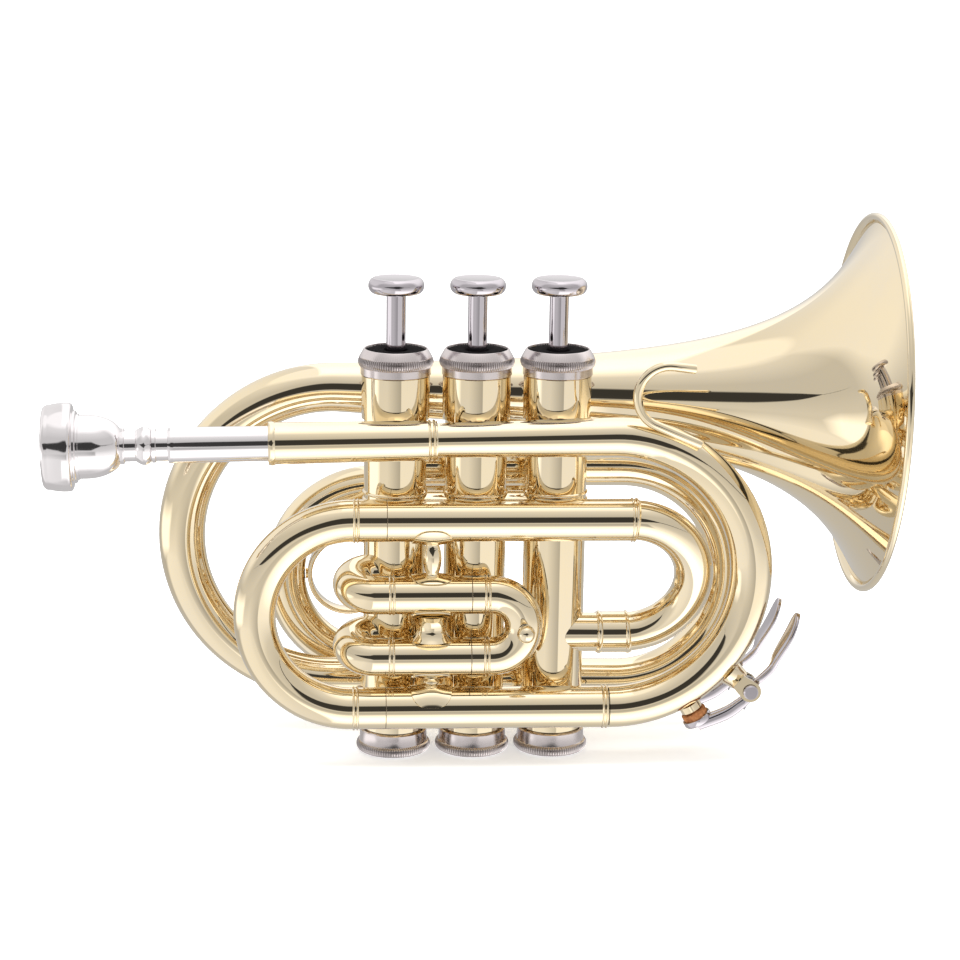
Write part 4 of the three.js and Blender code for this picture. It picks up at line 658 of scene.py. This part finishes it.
# %% Rear bow and bell
REAR_Y, REAR, REAR_BORE = 23.02, 6.9, 5.6
REAR_X, REAR_TOP = 84.6, 87.2
TILT_LOW, TILT_BELL = radians(0.83), radians(1.68)
RIM_X, RIM_RADIUS, HORN = 128.4, 60.2, 25.4
WALL, WIRE, BELL_SIDES, BELL_STEP = 0.65, 1.2, 160, radians(2.5)
BELL_BOW_X = -91.9


def low_z(x):
    return 14.8 - (x - 50) * tan(TILT_LOW)


def bell_z(x):
    return 112.15 - (x + 36.6) * tan(TILT_BELL)


corner = low_z(REAR_X)
bend = (REAR_TOP - corner) / (1 + tan((pi / 2 + TILT_LOW) / 2))
rear = Path([(-4.7, REAR_Y, low_z(-4.7)), (REAR_X, REAR_Y, corner), (REAR_X, REAR_Y, REAR_TOP),
             (-25, REAR_Y, REAR_TOP), (-25, 0, REAR_TOP)], [bend, bend, 10])
rear_outer = [(0, REAR), *beads(0.2, REAR), (3, REAR), (rear.length, REAR)]
tube("smooth rear bow", rear, rear_outer, even(rear, REAR_BORE), ["rear_bow"], meets=-25)
bell_path = bow((-5, REAR_Y, low_z(-5)), (BELL_BOW_X, REAR_Y, low_z(BELL_BOW_X)),
                (BELL_BOW_X, REAR_Y, bell_z(BELL_BOW_X)), (RIM_X, REAR_Y, bell_z(RIM_X)))


def wider(ring, distance, radius):
    """A copy of a ring at another distance, with another radius."""
    old = sum(ring, Vector()) / len(ring)
    place = bell_path.at(distance)[0]
    return [place + (point - old).normalized() * radius for point in ring]


flare = bell_path.length - bell_path.pieces[-1][0]
to_rim = [flare * (1 - i / 60) ** 2 for i in range(61)]
knots = [(0, REAR), (bell_path.pieces[1][0], REAR)]
knots += [(bell_path.length - d, RIM_RADIUS * HORN / (d + HORN)) for d in to_rim if d > 0.8]
skin = rings_on(bell_path, knots, BELL_SIDES, BELL_STEP)
bore = rings_on(bell_path, [(d, r - WALL) for d, r in knots], BELL_SIDES, BELL_STEP)
wire_at, wire_radius = bell_path.length - WIRE - 0.05, RIM_RADIUS + 0.55 - WIRE
for turn in range(250, -71, -16):
    angle = radians(turn)
    skin.append(wider(skin[-1], wire_at + WIRE * cos(angle), wire_radius + WIRE * sin(angle)))
make_object("smooth bell", skin + bore[::-1], BRASS, ["bell"], ends="joined")
print("bell rim:", RIM_RADIUS * 2, "mm across")

# %% Third slide with its finger ring
THIRD_Y, THIRD_HIGH, THIRD_LOW = 37.52, 77, 18.2
RING_MIDDLE, RING_HALF, RING_EDGE = 12.55, 2.5, 0.5
for name, port, z, node in (("upper third knuckle", 60, THIRD_HIGH, "third_tube_upper"),
                            ("lower third knuckle", 37, THIRD_LOW, "third_tube_lower")):
    path = Path([(-21.85, THIRD_Y, z), (25, THIRD_Y, z), (25, THIRD_Y, port), (25, 0, port)], [8, 8])
    tube(name, path, edged(path, RUN), stepped(path, RUN_BORE, 38, PORT_BORE), [node], meets=25)
third = flat_bow(THIRD_Y, 12, -59.2, THIRD_HIGH, THIRD_LOW)
slide("smooth third slide", third, 34, 5.9, RUN, LEG, LEG_BORE, "third_slide")

band = []
for quarter, (side, level) in enumerate(((1, 1), (-1, 1), (-1, -1), (1, -1))):
    band += arc((RING_MIDDLE + 0.25 * side, RING_HALF * level), RING_EDGE, 90 * quarter, 90 * quarter + 90, 4)
ring_place = Vector((-38.6, THIRD_Y, 47.4))
lathe("finger ring", band, ring_place, LEVEL, BRASS, ["third_slide_ring"], "third_slide")
LUG = [(0, 0), (1.9, 0), (1.75, 0.4), (1.45, 0.9), (1.35, 1.4), (1.45, 1.9), (1.6, 2.2), (0, 2.2)]
lathe("finger ring lug", LUG, ring_place - Vector((13.95, 0, 0)), (1, 0, 0), BRASS, (), "third_slide",
      sides=32)

# %% Second slide
SECOND, SECOND_HIGH, SECOND_LOW = 6.0, 62, 42
for name, z, node in (("upper second knuckle", SECOND_HIGH, "second_tube_upper"),
                      ("lower second knuckle", SECOND_LOW, "second_tube_lower")):
    path = Path([(0, 25.9, z), (0, 0, z)])
    tube(name, path, edged(path, SECOND), even(path, 5.35), [node], meets=0)
second = bow((0, 13.5, SECOND_HIGH), (0, 41, SECOND_HIGH), (0, 41, SECOND_LOW), (0, 13.5, SECOND_LOW))
slide("smooth second slide", second, 12.5, 3, SECOND, 5.05, 4.4, "second_slide")
print("second slide:", round(second.length), "mm of tube")

# %% [markdown]
# ## Braces
#
# Turned posts hold the tubes apart. Each foot is a thin disc bent to the tube and soldered, and its
# round outline shows on the front of the tube as a fine arc.

# %% Posts with saddle feet
BRACE_X = -14
FOOT_HALF, FOOT_THICK, FOOT_POWER = 6.5, 0.55, 0.7


def signed_power(value, exponent):
    return copysign(abs(value) ** exponent, value)


def saddle(tube_z, tube_radius, facing, half_arc):
    """An oval foot bent over a tube that runs along X. facing is +1 for a foot on top of the tube."""
    rings = []
    for i, share in enumerate([i / 8 for i in range(8)] + [0.99, 1.0]):
        reach = tube_radius + (FOOT_THICK + 1.1 * max(0, 1 - i / 8) ** 2 if i < 9 else 0.1)
        ring = []
        for k in range(64):
            around = 2 * pi * k / 64
            along = share * FOOT_HALF * signed_power(cos(around), FOOT_POWER)
            lean = share * half_arc * signed_power(sin(around), FOOT_POWER) / tube_radius
            ring.append(Vector((BRACE_X + along, FRONT_Y + reach * sin(lean),
                                tube_z + facing * reach * cos(lean))))
        rings.append(ring)
    return rings[::-1] if facing < 0 else rings


def post(name, under, over, node, foot=2.9, neck=2.0, swell=0.85, flare=1.1):
    """A baluster between two tubes, each given as (height, radius), with a saddle on each."""
    bottom, top = under[0] + under[1], over[0] - over[1]
    middle = (bottom + top) / 2
    belly = max((top - bottom) / 2 - flare - 0.1, 0.2)
    profile = [(0, bottom - 0.1), (foot, bottom - 0.1)]
    profile += [(neck + (foot - neck) * (1 - t / 6) ** 2, bottom + flare * t / 6) for t in range(1, 7)]
    profile += [(neck + swell * sin(pi * t / 12) ** 0.8, middle - belly + 2 * belly * t / 12)
                for t in range(1, 12)]
    profile += [(neck + (foot - neck) * (t / 6) ** 2, top - flare + flare * t / 6) for t in range(6)]
    profile += [(foot, top + 0.1), (0, top + 0.1)]
    lathe(name, profile, (BRACE_X, FRONT_Y, 0), UPRIGHT, BRASS, [node], sides=40)
    for (tube_z, radius), facing in ((under, 1), (over, -1)):
        rings = saddle(tube_z, radius, facing, 8.4 if radius == RUN else 4.6)
        make_object(f"{name} foot {facing}", rings, BRASS)


def rear_post(name, place, start, stop, node):
    profile = [(0, start), (3.3, start), (3.2, start + 0.4), (1.9, start + 1.1), (1.8, (start + stop) / 2),
               (1.9, stop - 1.1), (3.2, stop - 0.4), (3.3, stop), (0, stop)]
    lathe(name, profile, place, LEVEL, BRASS, [node], sides=40)


post("upper post", (FIRST_HIGH, FIRST), (UPPER_Z, RUN), "upper_brace")
post("middle post", (FIRST_LOW, FIRST), (FIRST_HIGH, FIRST), "middle_brace", 6.4, 4.4, 0.0,
     flare=(FIRST_HIGH - FIRST_LOW - 2 * FIRST) / 2 - 0.4)
post("lower post", (LOWER_Z, RUN), (FIRST_LOW, FIRST), "lower_brace", 2.2, 1.6, 0.9)
low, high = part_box("bell_brace")
rear_post("bell post", (-27, 0, 111.5), low.y / MM + 0.55, high.y / MM - 0.6, "bell_brace")
low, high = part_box("rear_brace")
rear_post("rear post", (3, 0, low_z(3)), low.y / MM + 1.55, high.y / MM - 0.9, "rear_brace")
print("the front posts stand at x =", BRACE_X, "mm")

# %% [markdown]
# ## Little finger hook
#
# The hook is one bent rod. Its foot is filed flat and soldered along the large bow, and its free end is
# rounded.

# %% The hook
lead_bend = (pipe_z(LEAD_X) - LOWER_Z) / (1 + tan((pi / 2 + RISE) / 2))
bow_centre = Vector((LEAD_X - lead_bend, 0, LOWER_Z + lead_bend))
BOW_SKIN, BOW_CLEAR = 6.55, 6.6
HOOK_WIRE, HOOK_LEAN = 1.45, 5.6
HOOK_Y = FRONT_Y - HOOK_LEAN
FOOT_X, HEEL_X, TURN_X, TIP_X = 25.45, 12.75, 5.35, 22.95


def on_bow(aside):
    ride = lead_bend + sqrt((BOW_SKIN + HOOK_WIRE + 0.1) ** 2 - HOOK_LEAN ** 2)
    return bow_centre.z + sqrt(ride ** 2 - aside ** 2)


foot_z, heel_z = on_bow(FOOT_X), on_bow(HEEL_X)
slope = (heel_z - foot_z) / (FOOT_X - HEEL_X)
hook = bow((bow_centre.x + FOOT_X, HOOK_Y, foot_z),
           (bow_centre.x + TURN_X, HOOK_Y, foot_z + slope * (FOOT_X - TURN_X)),
           (bow_centre.x + TURN_X, HOOK_Y, heel_z + 20.15), (bow_centre.x + TIP_X, HOOK_Y, heel_z + 17.95))
end = hook.length
foot = [(0, HOOK_WIRE - 0.4), (0.3, HOOK_WIRE - 0.1), (0.8, HOOK_WIRE)]
tip = [(end - 0.5, HOOK_WIRE), (end - 0.15, HOOK_WIRE - 0.15), (end, HOOK_WIRE - 0.5)]
rings = rings_on(hook, [*foot, *tip], 32)
for ring in rings:
    for point in ring:
        aside = hypot(point.x - bow_centre.x, point.z - bow_centre.z) - lead_bend
        depth = BOW_CLEAR - hypot(aside, point.y - FRONT_Y)
        if depth > 0:
            point += Vector((0, -1, 0.6)).normalized() * depth
make_object("finger hook", rings, BRASS, ["pinky_hook"])
print("the hook's bends have a radius of", round(hook.pieces[1][5], 1), "mm")

# %% [markdown]
# ## Water keys
#
# A water key is a small lever with a cork that seals a nipple on the bow. A wire spring wound round its
# hinge holds it shut, and pressing the spoon-shaped end lets the water out.

# %% The frame of one key
KEY_ANGLE, NIPPLE_BACK, HINGE_HEIGHT = -40.5, 16.4, 7.6


def heading_of(angle):
    """The direction at an angle in degrees above the +X axis."""
    return Vector((cos(radians(angle)), 0, sin(radians(angle))))


def key_frame(centre, bend_radius, tube_radius, y):
    surface = bend_radius + tube_radius
    up = heading_of(KEY_ANGLE)
    out = heading_of(KEY_ANGLE - degrees(NIPPLE_BACK / surface))
    middle = Vector((centre.x, y, centre.z))
    return {"out": out, "up": up, "surface": middle + up * surface, "nipple": middle + out * surface,
            "pivot": middle + up * (surface + HINGE_HEIGHT)}


rear_centre = Vector((REAR_X - bend, 0, REAR_TOP - bend))
KEYS = {"front": key_frame(bow_centre, lead_bend, BOW_SKIN, FRONT_Y),
        "rear": key_frame(rear_centre, bend, REAR, REAR_Y)}
print("hinges at", {k: tuple(round(c, 1) for c in v["pivot"]) for k, v in KEYS.items()})


# %% A rounded strip for levers
STRIP_POWER, END_LENGTH = 0.6, 0.6


def strip(points, half_widths, half_thicknesses, samples=6):
    """Rings of a flat bar with rounded edges, along a smooth curve through points."""
    points = [Vector(p) for p in points]
    count = len(points)

    def spline(values, t):
        i = min(int(t), count - 2)
        u = t - i
        p = [values[max(i - 1, 0)], values[i], values[i + 1], values[min(i + 2, count - 1)]]
        return (p[1] * 2 + (p[2] - p[0]) * u + (p[0] * 2 - p[1] * 5 + p[2] * 4 - p[3]) * u ** 2
                + (p[1] * 3 - p[0] - p[2] * 3 + p[3]) * u ** 3) * 0.5
    total = (count - 1) * samples
    centres = [spline(points, i / samples) for i in range(total + 1)]
    rings = []
    for i, place in enumerate(centres):
        t = i / samples
        direction = (centres[min(i + 1, total)] - centres[max(i - 1, 0)]).normalized()
        normal = direction.cross(LEVEL).normalized()
        width, thick = spline(half_widths, t), spline(half_thicknesses, t)
        from_end = min(min(i, total - i) / (samples * END_LENGTH), 1.0)
        width *= sqrt(max(0.02, 1 - (1 - from_end) ** 2))
        ring = []
        for k in range(32):
            angle = 2 * pi * k / 32
            ring.append(place + LEVEL * (signed_power(cos(angle), STRIP_POWER) * width)
                        + normal * (signed_power(sin(angle), STRIP_POWER) * thick))
        rings.append(ring)
    return rings


# %% Levers and corks
BARREL_HALF = 3.3
BARREL = [(1.45, -3.3), (1.95, -3.3), (2.1, -3.15), (2.1, 3.15), (1.95, 3.3), (1.45, 3.3)]
ARM = Vector((0, -1.7, 0))
CUP = [(0, 0.02), (4.0, 0.02), (4.15, -0.1), (4.2, -1.2), (4.35, -1.3), (4.55, -1.2), (4.6, -0.9),
       (4.6, 0.3), (4.3, 0.8), (3.5, 1.1), (0, 1.1)]
CORK_DISC = [(0, 0), (3.8, 0), (4.0, 0.2), (4.0, 2.9), (3.9, 3.0), (0, 3.0)]


def water_key(side):
    key = KEYS[side]
    body = f"water_key_{side}"
    pivot, out = key["pivot"], key["out"]
    seat = key["nipple"] + out * 5.5
    lathe(f"cork cup {side}", CUP, seat, out, BRIGHT_NICKEL, [f"water_key_{side}"], body, sides=48)
    lathe(f"hinge barrel {side}", BARREL, pivot, LEVEL, BRIGHT_NICKEL, (), body, sides=40)
    root = pivot + ARM
    arm_end = seat + out * 1.15 + ARM * 0.6
    outward = (out + key["up"]).normalized()
    knee = (arm_end + root) / 2 + outward * 2.4
    arm = strip([arm_end - (root - arm_end).normalized() * 1.5, arm_end, knee, root + outward * 1.9],
                [2.2, 2.2, 1.7, 1.6], [1.1, 1.8, 1.9, 1.4])
    make_object(f"cup arm {side}", arm, BRIGHT_NICKEL, (), body, sharp=50)
    neck = root + heading_of(44) * 9.4
    paddle = strip([root + heading_of(44) * 1.9, neck, neck + heading_of(62) * 4 - ARM * 0.8,
                    neck + heading_of(62) * 12 - ARM, neck + heading_of(65) * 19.2 - ARM],
                   [1.6, 1.8, 3.8, 4.7, 3.2], [1.0, 1.0, 0.95, 0.85, 0.7])
    make_object(f"spoon {side}", paddle, BRIGHT_NICKEL, (), body, sharp=50)
    lathe(f"cork {side}", CORK_DISC, key["nipple"] + out * 2.2, out, CORK, [f"key_cork_{side}"], body,
          sides=72, wobble=0.06, sharp=60)


# %% Posts, screws and springs of the keys
NIPPLE = [(1.6, -0.6), (3.5, -0.6), (3.5, 1.5), (3.2, 1.9), (1.9, 1.9), (1.6, 1.6)]
POST = [(0, -0.9), (4.2, -0.9), (4.1, 0.4), (3.9, 1.2), (3.7, 2.2), (3.6, 3.3), (3.4, 4.0), (0, 4.0)]
EAR_HALF, EAR_WIDTH, EAR_RADIUS = 0.7, 2.5, 3.3
SPRING_WIRE, SPRING_RADIUS, SPRING_TURNS, SPRING_PITCH = 0.3, 2.85, 2, 1.05


def key_fixings(side):
    key = KEYS[side]
    pivot, up, surface = key["pivot"], key["up"], key["surface"]
    lathe(f"nipple {side}", NIPPLE, key["nipple"], key["out"], BRASS, sides=48)
    lathe(f"key post {side}", POST, surface, up, BRASS, [f"key_post_{side}"], sides=56)
    half = BARREL_HALF + 0.3
    across = up.cross(LEVEL)
    for sign in (-1, 1):
        middle = LEVEL * (sign * (half + EAR_HALF))
        ear = fork_ear(surface + up * 2.6 + middle, pivot + middle, across)
        make_object(f"fork ear {side} {sign}", ear, BRASS)
    bridge_half = half + 1.35
    rings = [[surface + up * h + LEVEL * y + across * w for y, w in
              ((-bridge_half, -2.4), (bridge_half, -2.4), (bridge_half, 2.4), (-bridge_half, 2.4))]
             for h in (2.5, 4.05)]
    make_object(f"fork bridge {side}", rings, BRASS)
    head = half + 1.7
    screw = [(0, head + 0.85), (1.9, head + 0.85), (2.3, head + 0.5), (2.4, head), (1.1, head),
             (1.1, -head + 0.3), (0, -head + 0.3)]
    lathe(f"hinge screw {side}", screw, pivot, -LEVEL, BRIGHT_NICKEL, [f"key_screw_{side}"], sides=40)


def fork_ear(low, high, across):
    """Rings of a fork's ear: a straight root and a round end about the hinge."""
    up = (high - low).normalized()
    outline = [(-EAR_WIDTH, 0), (EAR_WIDTH, 0), *arc((0, (high - low).length), EAR_RADIUS, -20, 200, 22)]
    return [[low + LEVEL * y + across * w + up * h for w, h in outline] for y in (-EAR_HALF, EAR_HALF)]


def key_spring(side):
    lean = heading_of(62)
    outward = -lean.cross(LEVEL)
    other = LEVEL.cross(outward)
    start = KEYS[side]["pivot"] + LEVEL * (BARREL_HALF - 0.6 - SPRING_PITCH * SPRING_TURNS)
    places = []
    for i in range(SPRING_TURNS * TURN_STEPS + 1):
        angle = 2 * pi * i / TURN_STEPS
        places.append(start + (outward * cos(angle) + other * sin(angle)) * SPRING_RADIUS
                      + LEVEL * (SPRING_PITCH * i / TURN_STEPS))
    heading = (places[-1] - places[-2]).normalized()
    places += [places[-1] + heading * s for s in (2, 4, 6, 7.6)]
    rings = []
    normal = LEVEL
    for i, place in enumerate(places):
        direction = (places[min(i + 1, len(places) - 1)] - places[max(i - 1, 0)]).normalized()
        normal = (normal - direction * normal.dot(direction)).normalized()
        rings.append(circle(place, normal, direction.cross(normal), SPRING_WIRE, WIRE_SIDES))
    make_object(f"torsion spring {side}", rings, SPRING_STEEL, [f"key_spring_{side}"], sharp=60)


for side in KEYS:
    water_key(side)
    key_fixings(side)
    key_spring(side)

# %% [markdown]
# ## Studio
#
# Polished brass is lit by what it reflects. The surroundings are a white tent: a bright panel overhead,
# softer walls, and one dark slot in the front wall, which draws the thin brown line along every tube.
# The camera sees pure white, and the floor keeps a faint shadow.

# %% World
# Each table gives a brightness or a width for places from -1 to 1 along one direction.
FRONT_WALL = [(-1, 0.7), (-0.99, 0.85), (-0.93, 1.45), (-0.82, 1.8), (-0.68, 1.8), (-0.51, 1.45),
              (-0.34, 1.0), (-0.14, 0.75), (0.2, 0.62), (0.57, 0.62), (0.72, 0.72), (0.85, 0.82),
              (0.94, 1.2), (0.99, 1.6), (1, 1.65)]
BACK_WALL = [(-1, 0.6), (-0.2, 0.5), (0, 0.6), (0.2, 0.95), (0.42, 1.25), (0.8, 1.4), (1, 1.65)]
SLOT_HALF = [(-1, 0.001), (-0.82, 0.002), (-0.68, 0.06), (-0.45, 0.125), (-0.2, 0.175), (-0.06, 0.25),
             (0.16, 0.25), (0.3, 0.14), (0.5, 0.02), (1, 0.001)]
LEFT_LIMIT = [(-1, 1.0), (-0.5, 0.95), (-0.33, 0.88), (-0.12, 0.84), (-0.06, 2), (1, 2)]
SLOT_HEIGHT, SLOT_LIGHT, BAND_HEIGHT = 0.232, 0.07, -0.23
PANEL_LIGHT, TENT_LIGHT, TENT_COLOUR = 1.4, 1.09, (1.0, 0.99, 0.985, 1)


def by_table(graph, value, stops):
    """What a table of (place, number) pairs gives for a value from -1 to 1."""
    ramp = graph.add("ShaderNodeValToRGB", {"Fac": graph.fall(value, -1, 1)})
    elements = ramp.color_ramp.elements
    while len(elements) < len(stops):
        elements.new(0.5)
    for element, (place, number) in zip(elements, stops):
        element.position = (place + 1) / 2
        element.color = (number / 2, number / 2, number / 2, 1)
    return graph.maths("MULTIPLY", ramp.outputs["Color"], 2.0)


def build_world():
    world = bpy.data.worlds.new("white tent")
    bpy.context.scene.world = world
    world.use_nodes = True
    world.node_tree.nodes.clear()
    tent = Graph(world.node_tree)
    maths, fall, blend = tent.maths, tent.fall, tent.blend
    split = tent.add("ShaderNodeSeparateXYZ", {"Vector": tent.place.outputs["Generated"]})
    right, back, height = (split.outputs[axis] for axis in "XYZ")
    off_slot = maths("ABSOLUTE", maths("SUBTRACT", height, SLOT_HEIGHT))
    slot = fall(maths("DIVIDE", off_slot, by_table(tent, right, SLOT_HALF)), 0.86, 1.14, SLOT_LIGHT, 1.0)
    slot = maths("MAXIMUM", slot, fall(back, -0.35, -0.2))
    front = maths("MULTIPLY", by_table(tent, height, FRONT_WALL), slot)
    off_band = maths("ABSOLUTE", maths("SUBTRACT", height, BAND_HEIGHT))
    band_light = blend(fall(right, 0.27, 0.30), fall(right, -0.5, 0.27, 0.95, 0.55), 1.1)
    front = maths("MULTIPLY", front, blend(fall(off_band, 0.08, 0.16), band_light, 1.0))
    around = blend(fall(back, -0.15, 0.25), front, by_table(tent, height, BACK_WALL))
    limit = maths("MAXIMUM", by_table(tent, right, LEFT_LIMIT), fall(height, 0.7, 0.9, 0.0, 1.1))
    around = maths("MINIMUM", around, limit)
    panel = maths("MULTIPLY", fall(right, -0.92, -0.7, PANEL_LIGHT, 0.0), fall(height, -0.45, -0.3))
    panel = maths("MULTIPLY", panel, fall(height, -0.15, 0.1, 1.0, 0.0))
    shown = maths("MULTIPLY", maths("MAXIMUM", around, panel), TENT_LIGHT)
    rays = tent.nodes.new("ShaderNodeLightPath")
    strength = blend(rays.outputs["Is Camera Ray"], shown, 1.0)
    background = tent.add("ShaderNodeBackground", {"Color": TENT_COLOUR, "Strength": strength})
    tent.add("ShaderNodeOutputWorld", {"Surface": background.outputs["Background"]})
    print("the tent has", len(tent.nodes), "nodes")


build_world()

# %% Floor and lamp
FLOOR_HALF, FLOOR_DROP, FLOOR_GLOW = 6.0, 0.0002, 0.45


def build_floor():
    """White paper that the metal doesn't mirror, made to look a little brighter."""
    mesh = bpy.data.meshes.new("floor")
    corners = [(x * FLOOR_HALF, y * FLOOR_HALF, 0) for x, y in ((-1, -1), (1, -1), (1, 1), (-1, 1))]
    mesh.from_pydata(corners, [], [(0, 1, 2, 3)])
    floor = bpy.data.objects.new("floor", mesh)
    floor.location.z = -FLOOR_DROP
    bpy.context.scene.collection.objects.link(floor)
    material, paper, shader = new_material("white paper")
    paper.feed(shader, {"Base Color": paper.tint(paper.noise(400), (0.90, 0.90, 0.90), (0.92, 0.92, 0.92)),
                        "Roughness": 1.0, "Specular IOR Level": 0.0})
    rays = paper.nodes.new("ShaderNodeLightPath")
    strength = paper.maths("MULTIPLY", rays.outputs["Is Camera Ray"], FLOOR_GLOW)
    glow = paper.add("ShaderNodeEmission", {"Strength": strength})
    lit = paper.add("ShaderNodeAddShader", {0: shader.outputs["BSDF"], 1: glow.outputs["Emission"]})
    clear = paper.nodes.new("ShaderNodeBsdfTransparent")
    choose = paper.add("ShaderNodeMixShader", {"Fac": rays.outputs["Is Glossy Ray"],
                                               1: lit.outputs["Shader"], 2: clear.outputs["BSDF"]})
    paper.feed(paper.nodes["Material Output"], {"Surface": choose.outputs["Shader"]})
    mesh.materials.append(material)
    return floor


lamp_data = bpy.data.lights.new("overhead panel", "AREA")
lamp_data.shape = "RECTANGLE"
lamp_data.size, lamp_data.size_y = 1.6, 1.0
lamp_data.energy = 26
lamp = bpy.data.objects.new("overhead panel", lamp_data)
lamp.location = (-0.2, -0.25, 1.6)
lamp.rotation_euler = (radians(-8), 0, 0)
lamp.visible_glossy = False
bpy.context.scene.collection.objects.link(lamp)
build_floor()
print("lamp:", lamp_data.energy, "W")

# %% [markdown]
# The camera was fitted to the photo, together with the size of the instrument.

# %% Camera
CAMERA = Vector((-55.997, -783.195, 275.572)) * MM
forward = Vector((0.07114, 0.96990, -0.23287)).normalized()
right = forward.cross(Vector((0.0022, 0.23331, 0.97240))).normalized()
up = right.cross(forward)
camera_data = bpy.data.cameras.new("camera")
camera_data.lens = 97.384
camera_data.sensor_width = 36
camera_data.clip_start, camera_data.clip_end = 0.05, 20
camera = bpy.data.objects.new("camera", camera_data)
turned = Matrix((right, up, -forward)).transposed().to_4x4()
camera.matrix_world = Matrix.Translation(CAMERA) @ turned
bpy.context.scene.collection.objects.link(camera)
bpy.context.scene.camera = camera
bpy.context.scene.view_settings.view_transform = "Standard"
bpy.context.scene.cycles.glossy_bounces = 7
